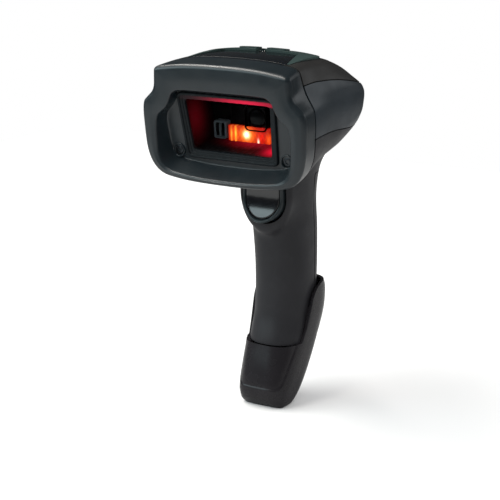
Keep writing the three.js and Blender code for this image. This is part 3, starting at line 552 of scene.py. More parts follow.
def finish(name, colour, rough, *, vary=0.12, blotch=60.0, grain=900.0, bump=0.12, metal=0.0,
           wear=0.1, coat=0.0, level=0.35, stretch=None, scratch=0.0):
    """Moulded or machined surface: drifting tone, patchy gloss, fine grain, worn edges."""
    n = Nodes(name)
    colour = linear(*colour)
    shader = n.add("ShaderNodeBsdfPrincipled")
    drift = n.noise(blotch, 4, 0.6, stretch)
    tone = n.mix(n.remap(drift, 0.3, 0.7, 0, 1), scaled(colour, 1 - vary), scaled(colour, 1 + vary))
    edge = n.add("ShaderNodeNewGeometry").outputs["Pointiness"]
    rubbed = n.remap(n.noise(260, 5), 0.35, 0.65, 0.3, 1)
    share = n.add("ShaderNodeMath", operation="MULTIPLY")
    n.link(n.remap(edge, 0.53, 0.62, 0, wear), share.inputs[0])
    n.link(rubbed, share.inputs[1])
    tone = n.mix(share.outputs[0], tone, scaled(tuple(c + 0.02 for c in colour), 1.7))
    n.link(tone, shader.inputs["Base Color"])
    gloss = n.remap(n.noise(blotch * 2.3, 5), 0.3, 0.7, rough - 0.05, rough + 0.05)
    n.link(gloss, shader.inputs["Roughness"])
    n.fill(shader, {"Metallic": metal, "Specular IOR Level": level, "Coat Weight": coat,
                    "Coat Roughness": 0.12})
    normal = n.bump(n.noise(grain, 2), bump, 0.00005)
    if scratch:
        normal = n.bump(n.noise(500, 6, 0.7, (1, 14, 1)), scratch, 0.00002, normal)
    n.link(normal, shader.inputs["Normal"])
    n.link(shader.outputs[0], n.output.inputs["Surface"])
    return n.material


def glass(name, tint, reflect, haze=0.0):
    """Clear or smoked pane that lets light straight through."""
    n = Nodes(name)
    clear = n.add("ShaderNodeBsdfTransparent")
    clear.inputs["Color"].default_value = (*tint, 1)
    shine = n.add("ShaderNodeBsdfGlossy")
    n.link(n.remap(n.noise(90, 4), 0.3, 0.7, 0.02, 0.06), shine.inputs["Roughness"])
    n.link(n.bump(n.noise(60, 2), 0.05, 0.00005), shine.inputs["Normal"])
    fresnel = n.add("ShaderNodeFresnel")
    fresnel.inputs["IOR"].default_value = 1.45
    share = n.add("ShaderNodeMath", operation="MULTIPLY_ADD")
    n.link(fresnel.outputs[0], share.inputs[0])
    share.inputs[1].default_value = reflect
    share.inputs[2].default_value = haze
    both = n.add("ShaderNodeMixShader")
    n.link(share.outputs[0], both.inputs[0])
    n.link(clear.outputs[0], both.inputs[1])
    n.link(shine.outputs[0], both.inputs[2])
    n.link(both.outputs[0], n.output.inputs["Surface"])
    return n.material


def glowing(name, base, rough=0.25):
    """Plastic with painted light: the glow is stored on the mesh as colour, and it lights others red."""
    n = Nodes(name)
    shader = n.add("ShaderNodeBsdfPrincipled")
    glow = n.add("ShaderNodeAttribute", attribute_name="glow")
    spill = n.add("ShaderNodeMix", data_type="RGBA", blend_type="MULTIPLY")
    spill.inputs[0].default_value = 1.0
    n.link(glow.outputs["Color"], spill.inputs[6])
    spill.inputs[7].default_value = (0.5, 0.03, 0.04, 1)
    seen = n.add("ShaderNodeLightPath").outputs["Is Camera Ray"]
    n.link(n.mix(seen, spill.outputs[2], glow.outputs["Color"]), shader.inputs["Emission Color"])
    n.fill(shader, {"Emission Strength": 1.0, "Specular IOR Level": 0.15})
    tone = n.mix(n.remap(n.noise(400, 3), 0.3, 0.7, 0, 1), scaled(base, 0.85), scaled(base, 1.2))
    n.link(tone, shader.inputs["Base Color"])
    n.link(n.remap(n.noise(700, 3), 0.3, 0.7, rough - 0.08, rough + 0.08), shader.inputs["Roughness"])
    n.link(n.bump(n.noise(1500, 2), 0.02, 0.00004), shader.inputs["Normal"])
    n.link(shader.outputs[0], n.output.inputs["Surface"])
    return n.material


BLUE_GREY = finish("blue_grey_plastic", (22, 32, 37), 0.34, grain=1400, bump=0.02, level=0.7)
BAND_GREY = finish("band_plastic", (37, 45, 51), 0.38, grain=1400, bump=0.06, level=0.5)
BROWN_GREY = finish("brown_grey_plastic", (43, 42, 41), 0.45, grain=1300, bump=0.12, level=0.35)
GRIP = finish("grip_plastic", (41, 41, 44), 0.44, grain=1200, bump=0.12, level=0.25)
BOOT = finish("boot_plastic", (33, 31, 34), 0.26, grain=1300, bump=0.03, level=0.3)
INLAY = finish("gloss_black", (5, 8, 13), 0.1, vary=0.2, bump=0.03, coat=0.15, level=0.2)
TRIM = finish("trim_plastic", (50, 66, 64), 0.34, bump=0.08)
TRIGGER = finish("trigger_plastic", (36, 43, 46), 0.34, bump=0.08)
PAD = finish("pad_gloss", (9, 10, 17), 0.2, bump=0.03, coat=1.0, level=0.5)
BLACK = finish("black_plastic", (20, 21, 24), 0.42, bump=0.1)
# the tunnel and the frame carry painted red light spill; the guide carries painted glow and glints
TUNNEL = glowing("tunnel_plastic", linear(16, 13, 15), 0.5)
FRAME_LIT = glowing("frame_plastic_lit", linear(24, 29, 32), 0.34)
GUIDE = glowing("red_guide", (0.06, 0.006, 0.003))
DEEP_BLACK = finish("engine_plastic", (9, 8, 10), 0.4, bump=0.02, level=0.05)
AIMER_GREY = finish("aimer_plastic", (96, 104, 110), 0.34, bump=0.06, level=0.2)
RUBBER = finish("seal_rubber", (24, 24, 25), 0.8, grain=500, bump=0.3)
STEEL = finish("steel", (150, 152, 155), 0.32, metal=1, scratch=0.3, wear=0.2)
DARK_STEEL = finish("blackened_steel", (70, 74, 78), 0.4, metal=1, scratch=0.2, wear=0.3)
BRASS = finish("brass", (190, 150, 84), 0.3, metal=1, scratch=0.25, wear=0.2)
BOARD = finish("circuit_board", (24, 74, 46), 0.45, vary=0.25, blotch=300, grain=600, coat=0.3)
CHIP = finish("chip", (30, 31, 33), 0.5, grain=1600, bump=0.2)
CHASSIS = finish("chassis_metal", (130, 133, 137), 0.36, metal=1, scratch=0.4)
WRAP = finish("cell_wrap", (50, 86, 130), 0.35, vary=0.15, coat=0.3)
RIBBON = finish("ribbon", (190, 130, 50), 0.35, vary=0.15, stretch=(1, 8, 1))
LEAD = finish("lead_insulation", (150, 30, 26), 0.45, vary=0.15)
IVORY = finish("ivory_plastic", (214, 208, 192), 0.45, vary=0.06)
LAMP = finish("lamp", (240, 226, 170), 0.3, vary=0.08)
WINDOW_GLASS = glass("clear_window", (0.93, 0.95, 0.95), reflect=0.0)
PIPE_GLASS = glass("pipe_glass", (0.6, 0.64, 0.66), reflect=1.2, haze=0.1)
LENS_GLASS = finish("lens_glass", (4, 3, 5), 0.16, vary=0.3, bump=0.005, level=0.15, wear=0)


# ---------------- bezel
RING_ANGLES = np.linspace(-PI, PI, 560, endpoint=False)
RING_CENTRE = (0.0, -6.8)


def shrunk(ring, inset):
    """Ring moved inward by a distance, with softened turning at tight corners."""
    ahead, behind = np.roll(ring, -2, 0), np.roll(ring, 2, 0)
    tangent = ahead - behind
    normal = np.stack([tangent[:, 1], -tangent[:, 0]], -1)
    normal /= np.linalg.norm(normal, axis=1)[:, None]
    if np.sum(normal * (ring - np.array(RING_CENTRE))) < 0:
        normal = -normal
    weights = np.array([1, 2, 3, 4, 3, 2, 1], float)
    soft = sum(w * np.roll(normal, k - 3, 0) for k, w in enumerate(weights))
    soft /= np.linalg.norm(soft, axis=1)[:, None]
    return ring - soft * inset


def bezel_edge(depth):
    return polar_ring(head_outline(depth, 16, 14), RING_ANGLES, RING_CENTRE)


def flat(ring, depth):
    return np.stack([ring[:, 0], np.broadcast_to(depth, len(ring)), ring[:, 1]], -1)


def window_ring(corners, depth=0.0):
    ring = rounded_ring(corners, 10, 10)
    ring = polar_ring(ring, RING_ANGLES, (0.0, 0.0))
    return on_window(flat(ring, depth))


def bezel_piece():
    low_side = smoothstep(-np.sin(RING_ANGLES), 0.45, 0.8)
    fillet = 2.3 - 1.0 * low_side
    lip = (0.8 - 0.3 * low_side)[:, None]
    rows = [flat(shrunk(bezel_edge(BEZEL_DEPTH), 2.2), BEZEL_DEPTH)]
    rows += [flat(shrunk(bezel_edge(BEZEL_DEPTH - d), inset), BEZEL_DEPTH - d)
             for d, inset in ((0, 0.9), (0.12, 0.45), (0.45, 0.12), (1.0, 0))]
    rows += [flat(bezel_edge(depth), depth) for depth in np.linspace(12.4, 2.7, 12)]
    for turn in np.linspace(0, PI / 2, 9):
        ring = shrunk(bezel_edge(1.2), (fillet * (1 - math.cos(turn)))[:, None])
        rows.append(flat(ring, fillet * (1 - math.sin(turn))))
    face_edge = rows[-1]
    rim = flat(polar_ring(rounded_ring(mirrored(RECESS_RIM), 14, 10), RING_ANGLES, RING_CENTRE), 0)
    out = rim - face_edge
    length = np.linalg.norm(out, axis=1)[:, None]
    face_stop = rim - out / length * lip
    for t in np.linspace(0, 1, 12)[1:]:
        row = face_edge + (face_stop - face_edge) * t
        row[:, 1] -= 0.25 * math.sin(PI * t) ** 1.2
        rows.append(row)
    floor = window_ring(mirrored(RECESS_FLOOR), 0.3)
    down = floor - rim
    inward = down / np.linalg.norm(down, axis=1)[:, None]
    for turn in np.linspace(0, 1, 6)[1:]:
        start, corner, end = face_stop, rim, rim + inward * lip * 1.1
        rows.append(start * (1 - turn) ** 2 + corner * 2 * turn * (1 - turn) + end * turn ** 2)
    foot = floor - inward * 0.6
    top = rows[-1]
    rows += [top + (foot - top) * t for t in np.linspace(0, 1, 10)[1:]]
    opening = rectangle(25.0, 15.6, 0.07, WINDOW_TAPER)
    hole = window_ring(opening, 0.3)
    across = (hole - floor) / np.maximum(np.linalg.norm(hole - floor, axis=1), 1e-6)[:, None]
    landing = floor + across * np.minimum(0.6, 0.45 * np.linalg.norm(hole - floor, axis=1))[:, None]
    for turn in np.linspace(0, 1, 5)[1:]:
        rows.append(foot * (1 - turn) ** 2 + floor * 2 * turn * (1 - turn) + landing * turn ** 2)
    rows += [landing + (hole - landing) * t for t in np.linspace(0, 1, 6)[1:]]
    rows.append(window_ring(opening, 3.2))
    rows.append(flat(shrunk(bezel_edge(12), 3.0), 12))
    make("bezel_shell", *loft(rows, "loop"), BLUE_GREY, "front_bezel", head=True, sharp=60)


bezel_piece()


def frame_glow(points):
    """Painted red light that leaks onto the upper ledges of the window."""
    x, y, z = to_window(points).T
    upper = smoothstep(z, WINDOW_HALF[1] - 0.6, WINDOW_HALF[1] + 0.1) * (y > -0.6)
    share = upper * np.exp(-((x - 10) / 15) ** 2) * smoothstep(-z, -15, -13.2)
    return share[:, None] * np.array([0.75, 0.004, 0.05])


def tunnel_glow(points):
    """Painted red light spill on the left wall and on the floor of the light tunnel."""
    x, y, z = to_window(points).T
    left = smoothstep(-x, 19, 21.4) * np.exp(-((y - 6) / 6) ** 2) * np.exp(-((z - 1) / 8) ** 2)
    floor = smoothstep(-z, 11, 12) * np.exp(-((x - 18) / 5) ** 2) * np.exp(-((y - 8) / 5) ** 2)
    near = smoothstep(-z, 11, 12) * np.exp(-((x - 3) / 10) ** 2) * smoothstep(y, 6, 16)
    return (0.06 * left + 1.0 * floor + 0.35 * near)[:, None] * np.array([1.0, 0.01, 0.04])


def window_pieces():
    def ledge(grow, depth):
        half_x, half_z = WINDOW_HALF
        return window_ring(rectangle(half_x + grow, half_z + grow, 0.06, WINDOW_TAPER), depth)

    profile = [(3.35, 1.6), (3.3, -0.5), (3.2, -0.85), (2.95, -1.0), (2.5, -1.0), (2.25, -0.92),
               (2.15, -0.7), (2.1, -0.3), (2.0, -0.18), (1.8, -0.15), (1.3, -0.15), (1.1, -0.08),
               (1.05, 0.05), (1.0, 0.22), (0.6, 0.26), (0.2, 0.27), (0.05, 0.4), (0.0, 1.6)]
    surround = make("window_surround", *loft([ledge(*row) for row in profile], "loop"), FRAME_LIT,
                    "window_frame", head=True)
    # painted red light on the frame's upper ledges
    paint_glow(surround, frame_glow)
    pane = [window_ring(rectangle(22.9, 13.5, 0.05, WINDOW_TAPER), d) for d in (0.45, 0.5, 1.6, 1.7)]
    make("window_pane", *loft(pane), WINDOW_GLASS, "scan_window", head=True, sharp=30)
    liner = [ledge(-0.05 - 0.01 * d, d) for d in np.linspace(2.0, 19.5, 30)]
    outer = [ledge(0.9, 19.5), ledge(0.9, 2.0)]
    tunnel = make("light_tunnel", *loft(liner + outer, "loop"), TUNNEL, head=True)
    # painted red light spill inside the tunnel
    paint_glow(tunnel, tunnel_glow)


window_pieces()


# ---------------- head shells
def seam_height(seam, depth):
    table = np.vstack([seam[:1] - (10, 0), seam, seam[-1:] + (10, seam[-1, 1] - seam[-2, 1])])
    return section(table.astype(float), depth)[0]


def cover_sheet():
    """Top of the head in rows of depth; columns run from the right seam over to the left."""
    ends = np.linspace(70, 80, 400)
    _, top, _ = section(HEAD_SECTIONS, ends)
    stop = ends[np.argmax(top < seam_height(UPPER_SEAM, ends) + SEAM_GAP + 0.05)] - 0.02
    front = np.linspace(CROWN_FROM, CROWN_TO, 52)
    back = stop - (stop - CROWN_TO) * (1 - np.linspace(0, 1, 46)[1:]) ** 2
    depths = np.concatenate([front, back])
    heights = seam_height(UPPER_SEAM, depths) + SEAM_GAP
    start = np.stack([np.zeros_like(depths), depths, heights], -1)
    side = cast(head_field, start, np.array([1.0, 0, 0]))[:, 0]
    flank = np.linspace(0, PI / 2, 22)[:-1]
    across = np.linspace(1, 0, 34)
    inner = np.minimum(CROWN_HALF, 0.72 * side)
    origins, directions = [], []
    for angle in flank:
        origins.append(np.stack([inner, depths, heights], -1))
        directions.append((math.cos(angle), 0, math.sin(angle)))
    for share in across:
        origins.append(np.stack([inner * share, depths, heights], -1))
        directions.append((0, 0, 1))
    right = cast(head_field, np.array(origins), np.array(directions)[:, None, :])
    left = right[-2::-1] * (-1, 1, 1)
    return np.moveaxis(np.concatenate([right, left]), 0, 1), len(flank), len(front)


cover_rows, flank_count, front_count = cover_sheet()


def cover_piece():
    rows, columns = cover_rows.shape[:2]
    keep = np.ones((rows, columns), bool)
    keep[:front_count - 1, flank_count:columns - flank_count - 1] = False
    points, faces = thicken(cover_rows.reshape(-1, 3), grid_faces(rows, columns, keep=keep),
                            (0, 40, 0), HEAD_WALL)
    make("cover_shell", points, faces, BROWN_GREY, "top_cover", bevel=0.3, head=True)


cover_piece()


def over_crown(x, depth, rise):
    """Points on the crown at plan position x, depth, lifted by rise."""
    start = np.stack([x, depth, seam_height(UPPER_SEAM, depth) + 1], -1)
    point = cast(head_field, start, np.array([0, 0, 1.0]), reach=30)
    point[..., 2] += rise
    return point


def crown_slab(outline, rise, depth, step=0.65):
    """Slab over the crown inside a plan outline; rise and depth are functions of x, depth."""
    low, high = outline.min(0) - step, outline.max(0) + step
    xs = np.linspace(low[0], high[0], int((high[0] - low[0]) / step) + 1)
    ys = np.linspace(low[1], high[1], int((high[1] - low[1]) / step) + 1)
    x, y = np.meshgrid(xs, ys)
    plan = np.stack([x, y, np.zeros_like(x)], -1).reshape(-1, 3)
    plan, faces = trim_sheet(plan, grid_faces(len(ys), len(xs)),
                             lambda p: -outline_distance(outline, p[:, :2]), lambda p: p)
    x, y = plan[:, 0], plan[:, 1]
    points = over_crown(x, y, rise(x, y))
    under = points.copy()
    under[:, 2] -= depth(points[:, 0], points[:, 1])
    return joined_sheets(points, under, faces)


def outline_distance(outline, points):
    """Signed distance to a closed plan outline, negative inside."""
    a, b = outline, np.roll(outline, -1, 0)
    edge = b - a
    offset = points[:, None, :] - a[None]
    t = np.clip((offset * edge).sum(-1) / (edge ** 2).sum(-1), 0, 1)
    nearest = np.linalg.norm(offset - edge * t[..., None], axis=-1).min(1)
    x, y = points[:, 0:1], points[:, 1:2]
    straddles = (a[:, 1] > y) != (b[:, 1] > y)
    rise = np.where(np.abs(edge[:, 1]) < 1e-9, 1e-9, edge[:, 1])
    hits = straddles & (x < a[:, 0] + (y - a[:, 1]) / rise * edge[:, 0])
    return np.where(hits.sum(1) % 2 == 1, -nearest, nearest)


def crown_pieces():
    def plan(*corners):
        return rounded_ring(np.array(corners), 4, 1)

    def even(height):
        return lambda x, y: height

    def lift(x, y):
        low, high = TRIM_RISE
        return low + (high - low) * smoothstep(y, TRIM_FRONT, BAR_FROM)

    edge = CROWN_HALF - GAP
    front, back = CROWN_FROM + GAP, CROWN_TO - GAP
    plate = plan((edge, back, .04), (edge, front, .04), (-edge, front, .04), (-edge, back, .04))
    make("crown_plate", *crown_slab(plate, even(0.08), even(1.0)), INLAY, "label_inlay", bevel=0.25,
         head=True)

    right = [
        (BAR_NOTCH, BAR_FROM - 1, .02), (TRIM_TAIL, BAR_FROM - 1, .05),
        (edge - TRIM_TIP, TRIM_FRONT, .02), (edge, TRIM_FRONT, .02), (edge, TRIM_BACK, .04),
    ]
    left = [(-x, y, soft) for x, y, soft in right][::-1]
    notch = [(-BAR_NOTCH, BAR_TO, .05), (BAR_NOTCH, BAR_TO, .05)]
    slabs = [crown_slab(plan(*right, *left, *notch), lift, lambda x, y: lift(x, y) - 0.1)]
    for side in (1, -1):
        block = plan((side * BAR_NOTCH, BAR_FROM, .08), (side * BAR_HALF, BAR_FROM, .08),
                     (side * BAR_HALF, BAR_TO, .12), (side * BAR_NOTCH, BAR_TO, .12))
        slabs.append(crown_slab(block, even(BAR_RISE), even(1.0), 0.5))
    faces, shift = [], 0
    for slab_points, slab_faces in slabs:
        faces += [tuple(v + shift for v in face) for face in slab_faces]
        shift += len(slab_points)
    make("crown_trim", np.vstack([slab[0] for slab in slabs]), faces, TRIM, "top_trim", bevel=0.22,
         segments=3, head=True)
    back = BAR_TO - 0.3
    pipe = plan((2.0, back, .1), (2.0, BAR_FROM, .1), (-2.0, BAR_FROM, .1), (-2.0, back, .1))
    make("status_lens", *crown_slab(pipe, even(0.3), even(0.2), 0.4), PIPE_GLASS,
         "status_light_pipe", bevel=0.06, head=True)


crown_pieces()


def around_back(seam, shift, shares):
    """Points of the head's skin along a seam, from the left front round to the right front."""
    turn_at = 55.0
    side_length, arc = turn_at - CROWN_FROM, 62.0
    total = 2 * side_length + arc
    s = shares * total
    on_left, on_right = s < side_length, s > side_length + arc
    depth0 = np.where(on_left, CROWN_FROM + s, np.where(on_right, CROWN_FROM + total - s, turn_at))
    angle = PI - np.clip((s - side_length) / arc, 0, 1) * PI
    swing = angle + 0.25 * np.sin(2 * angle)
    direction = np.stack([np.cos(swing), np.sin(swing), np.zeros_like(s)], -1)
    depth = depth0 + 22 * np.sin(angle) * (~on_left & ~on_right)
    for _ in range(7):
        height = seam_height(seam, depth) + shift
        point = cast(head_field, np.stack([np.zeros_like(s), depth0, height], -1), direction)
        depth = point[:, 1]
    return point, direction, depth0


def band_piece():
    shares = np.linspace(0, 1, 240)
    high, direction, depth0 = around_back(UPPER_SEAM, -SEAM_GAP, shares)
    low, _, _ = around_back(LOWER_SEAM, SEAM_GAP, shares)
    rows = []
    for t in np.linspace(0, 1, 44):
        height = low[:, 2] * (1 - t) + high[:, 2] * t
        origin = np.stack([np.zeros_like(depth0), depth0, height], -1)
        rows.append(cast(head_field, origin, direction))
    rows[0], rows[-1] = low, high
    sheet = np.array(rows)
    make_wall("band_shell", sheet, (0, 40, -2), HEAD_WALL, BAND_GREY, "head_band", bevel=0.3, head=True)


band_piece()


# ---------------- grip shells
FAN = np.array([0.0, 8.0, 124.0])
LOW_ROWS = [13.0, 20, 26.2, 26.4, 27.0, 27.6, 27.8]
HIGH_FRONT = 104.0
REAR_SEAM_GAP = 0.045  # radians round the grip


def skin_round_grip(z, angle):
    """Points of the body's skin seen from the grip's centre line, with the rays that find them."""
    z, angle = np.broadcast_arrays(z, angle)
    origin = np.stack([np.zeros_like(z), section(GRIP_SECTIONS, z)[0], z], -1)
    direction = np.stack([np.cos(angle), np.sin(angle), np.zeros_like(z)], -1)
    return cast(body_field, origin, direction, GRIP_REACH), origin, direction


def seam_turn(z):
    """Angle at which the long seam lies on the grip, seen from its centre line."""
    angle = np.full_like(z, 0.5)
    for _ in range(12):
        hit, origin, _ = skin_round_grip(z, angle)
        reach = np.linalg.norm(hit - origin, axis=1)
        angle = np.arcsin(np.clip(GRIP_SEAM_BACK / reach, -1, 1))
    return angle


def half_rim():
    """Right half of the funnel's upper rim, from the back centre to the front centre."""
    seam, _, _ = around_back(LOWER_SEAM, -SEAM_GAP, np.linspace(0.5, 1, 160))
    middle = float(head_middle(CROWN_FROM))
    begin = math.atan2(seam[-1, 2] - middle, seam[-1, 0])
    angles = np.linspace(begin, -PI / 2, 120)
    ring = polar_ring(head_outline(CROWN_FROM, 16, 14), angles, (0, middle))
    return to_row(seam), to_row(flat(ring, CROWN_FROM))


def funnel_sheet():
    seam, front = half_rim()
    loop = np.vstack([seam, front[1:]])
    length = np.concatenate([[0], np.cumsum(np.linalg.norm(np.diff(loop, axis=0), axis=1))])
    corner = length[len(seam) - 1]
    total = length[-1]
    split = seam_turn(np.array([GRIP_SEAM_TOP - 0.2]))[0]
    # matches distance along the rim with the angle round the grip
    known_s = [0, 0.24 * corner, corner, corner + 0.5 * (total - corner), total]
    known_turn = [PI / 2, split, math.radians(-34), math.radians(-56), -PI / 2]
    rear = np.linspace(0, known_s[1], 26)
    fore = np.linspace(known_s[1], total, 96)
    s = np.concatenate([rear, fore[1:]])
    turn = np.interp(s, known_s, known_turn)
    rim = np.stack([np.interp(s, length, loop[:, k]) for k in range(3)], -1)
    seam_column = len(rear) - 1

    heights = np.concatenate([LOW_ROWS, np.linspace(28.4, HIGH_FRONT, 108)])
    share = (heights - LOW_ROWS[0]) / (HIGH_FRONT - LOW_ROWS[0])
    rise = smoothstep(np.sin(turn), -0.35, math.sin(split) * 0.9)
    z = heights[:, None] + (share ** 3)[:, None] * rise[None] * (GRIP_SEAM_TOP - 0.2 - HIGH_FRONT)
    split_here = seam_turn(z[:, seam_column])
    angle = np.repeat(turn[None], len(heights), 0)
    ahead = slice(seam_column, None)
    squeeze = (turn[ahead] + PI / 2) / (split + PI / 2)
    angle[:, ahead] = -PI / 2 + squeeze[None] * (split_here[:, None] + PI / 2)
    column, _, _ = skin_round_grip(z, angle)

    first = column[-1] - FAN
    first /= np.linalg.norm(first, axis=1)[:, None]
    final = rim - FAN
    final /= np.linalg.norm(final, axis=1)[:, None]
    swing = np.arccos(np.clip((first * final).sum(1), -1, 1))[:, None]
    fan = []
    for t in np.linspace(0, 1, 64)[1:-1]:
        d = (np.sin((1 - t) * swing) * first + np.sin(t * swing) * final) / np.sin(swing)
        fan.append(cast(body_field, np.broadcast_to(FAN, d.shape), d, 80))
    half = np.concatenate([column, np.array(fan), rim[None]])
    return half, seam_column, len(heights)


funnel, seam_column, column_rows = funnel_sheet()


def front_shell_piece():
    half = funnel
    left = half[:, ::-1] * (-1, 1, 1)
    sheet = np.concatenate([half[:, :-1], left[:, :-1]], 1)
    rows, columns = sheet.shape[:2]
    half_columns = half.shape[1] - 1
    keep = np.ones((rows, columns), bool)
    keep[:column_rows - 1, :seam_column] = False
    keep[:column_rows - 1, 2 * half_columns - seam_column:] = False
    faces = grid_faces(rows, columns, wrap=True, keep=keep)

    def outside_opening(points):
        x, y, z = points.T
        outline = tongue_field(x, z, OPENING["half"], OPENING["foot"], OPENING["half"])
        return np.maximum(np.maximum(outline, z - OPENING["head"]), y - 6)

    def onto_front(points):
        start = points * (1, 0, 1) + (0, 2, 0)
        return cast(body_field, start, np.array([0, -1.0, 0]), 30)

    points, faces = trim_sheet(sheet.reshape(-1, 3), faces, outside_opening, onto_front)
    points, faces = thicken(points, faces, (0, 10, 100), GRIP_WALL)
    make("grip_front", points, faces, GRIP, "handle_front_shell", bevel=0.3, sharp=45)


front_shell_piece()


def rear_shell_piece():
    z = np.concatenate([LOW_ROWS, np.linspace(28.4, GRIP_SEAM_TOP - 0.6, 90)])
    split = seam_turn(z) + REAR_SEAM_GAP
    angle = split[:, None] + (PI - 2 * split)[:, None] * np.linspace(0, 1, 60)[None]
    sheet, _, _ = skin_round_grip(z[:, None], angle)
    make_wall("grip_rear", sheet, (0, 10, 70), GRIP_WALL, GRIP, "handle_rear_shell", bevel=0.3,
              sharp=45)
    # tongue under the top seam, so the joint is closed from inside
    z = np.linspace(GRIP_SEAM_TOP - 5, GRIP_SEAM_TOP + 4, 12)
    sheet, _, direction = skin_round_grip(z[:, None], np.linspace(0.3, PI - 0.3, 50)[None])
    make_wall("grip_tongue", sheet - direction * 2.0, (0, 10, 70), 0.9, GRIP, sharp=45)


rear_shell_piece()


# ---------------- boot
def boot_ring(z, angles):
    front, back, width, shape = section(BOOT_SECTIONS, z)
    c, s = np.cos(angles), np.sin(angles)
    x = width * np.sign(c) * np.abs(c) ** (2 / shape)
    y = (front + back) / 2 + (back - front) / 2 * np.sign(s) * np.abs(s) ** (2 / shape)
    return x, y


BOOT_BASE = BOOT_SECTIONS[0, 0]
PANEL_EDGE = np.array([(-3, 11.2), (7, 11.2), (14.5, 12.7), (28, 14.4), (60, 15)])
PANEL_FOOT, PANEL_DEPTH = 7.9, 0.32
BOOT_MIDDLE = 0.2


def boot_panel(x, y, z):
    """How far inside the shallow panel on the boot's front a point lies, 0 to 1."""
    side = np.interp(z, PANEL_EDGE[:, 0], PANEL_EDGE[:, 1]) - np.abs(x)
    foot = z - PANEL_FOOT
    inside = smooth_min(side, foot, 3.0)
    return smoothstep(inside, -0.45, 0.45) * smoothstep(-y, -9, -5)


def boot_piece():
    angles = np.linspace(-PI, PI, 320, endpoint=False)
    rim = np.full_like(angles, 40.0)
    table = np.vstack([BOOT_RIM, [(60, 54)]])
    for _ in range(40):
        y = boot_ring(rim, angles)[1]
        rim = 0.6 * rim + 0.4 * section(table, y)[0]
    shares = np.concatenate([np.linspace(0, 0.1, 14)[:-1], np.linspace(0.1, 0.5, 64)[:-1],
                             np.linspace(0.5, 1, 48)])
    low = np.full_like(angles, BOOT_BASE)
    x, y = boot_ring(low, angles)
    rows = [np.stack([x * share, BOOT_MIDDLE + (y - BOOT_MIDDLE) * share, low], -1)
            for share in (0.15, 0.4, 0.7, 0.9, 0.97)]
    for share in shares:
        z = BOOT_BASE + (rim - BOOT_BASE) * share
        x, y = boot_ring(z, angles)
        sunk = PANEL_DEPTH * boot_panel(x, y, z)
        rows.append(np.stack([x * (1 - sunk / 15), y + sunk, z], -1))
    count = len(angles)
    points, faces = loft(rows, "none")
    hub = len(points)
    points = np.vstack([points, [(0, BOOT_MIDDLE, BOOT_BASE)]])
    faces += [(hub, (c + 1) % count, c) for c in range(count)]
    # the wall reaches in to the grip wherever the two are close
    wall = np.full(len(points), BOOT_WALL)
    inward = (0, 16, 0) - points
    inward[:, 0] = -points[:, 0]
    inward[:, 2] = 0
    inward /= np.maximum(np.linalg.norm(inward, axis=1), 1e-6)[:, None]
    for depth in np.arange(BOOT_WALL, 2.9, 0.1):
        clear = grip_field(points + inward * depth) > 0.12
        wall = np.where(clear & (points[:, 1] < 14) & (points[:, 2] > 24), depth, wall)
    points, faces = thicken(points, faces, (0, 10, 28), wall)
    make("boot_shell", points, faces, BOOT, "battery_cap", "boot", bevel=0.2, sharp=45)


boot_piece()


# ---------------- trigger
def tongue_ring(half, foot, head, inset=0.0, count=40):
    """U outline with a round foot and softly rounded upper corners, point by point."""
    half, foot, head = half - inset, foot + inset, head - inset
    corner = 1.6
    middle = foot + half
    rise = middle + (head - corner - middle) * np.linspace(0, 1, 12)[1:-1]
    points = [(half * math.cos(t), middle + half * math.sin(t)) for t in np.linspace(PI, 2 * PI, count)]
    points += [(half, z) for z in rise]
    points += [(half - corner + corner * math.cos(t), head - corner + corner * math.sin(t))
               for t in np.linspace(0, PI / 2, 6)]
    points += [((half - corner) * (1 - 2 * t), head) for t in np.linspace(0, 1, 20)[1:-1]]
    points += [(-half + corner + corner * math.cos(t), head - corner + corner * math.sin(t))
               for t in np.linspace(PI / 2, PI, 6)]
    points += [(-half, middle + (head - corner - middle) * t) for t in np.linspace(1, 0, 12)[1:-1]]
    return np.array(points)


def hollow_front(z):
    return FINGER_Y + np.sqrt(np.maximum(FINGER_RADIUS ** 2 - (z - FINGER_Z) ** 2, 0))


def trigger_pieces():
    def ring(half, foot, head, inset, sink, floor=None):
        outline = tongue_ring(half, foot, head, inset)
        y = hollow_front(outline[:, 1]) + sink if floor is None else floor
        return flat(outline, y)

    lever = (TRIGGER_HALF, TRIGGER_FOOT, TRIGGER_HEAD)
    seat = (PAD_HALF + 0.35, PAD_FOOT - 0.35, TRIGGER_HEAD - 1.05)
    rows = [ring(*lever, 0.4, 0, 3.5), ring(*lever, 0, 0, 3.1), ring(*lever, 0, 0, 0.5)]
    rows += [ring(*lever, 0, 1.0), ring(*lever, 0.06, 0.5), ring(*lever, 0.25, 0.16),
             ring(*lever, 0.55, 0.0)]
    rows += [ring(*seat, -0.4, 0.0), ring(*seat, -0.12, 0.08), ring(*seat, 0.0, 0.3),
             ring(*seat, 0.0, 1.9), ring(*seat, 0.5, 2.2), ring(*seat, 3.5, 2.4), ring(*seat, 6, 2.5)]
    make("trigger_lever_body", *loft(rows), TRIGGER, "trigger", "trigger_lever", sharp=45)
    pad = (PAD_HALF, PAD_FOOT, TRIGGER_HEAD - 1.4)
    rows = [ring(*pad, 0.3, 1.85), ring(*pad, 0.0, 1.6), ring(*pad, 0.0, 0.75),
            ring(*pad, 0.08, 0.42), ring(*pad, 0.3, 0.24), ring(*pad, 0.65, 0.2)]
    rows += [ring(*pad, inset, 0.2) for inset in (1.2, 2, 3, 4, 5, 6, 7, 7.8, 8.4)]
    make("finger_pad", *loft(rows), PAD, "trigger_pad", "trigger_lever", sharp=45)


trigger_pieces()


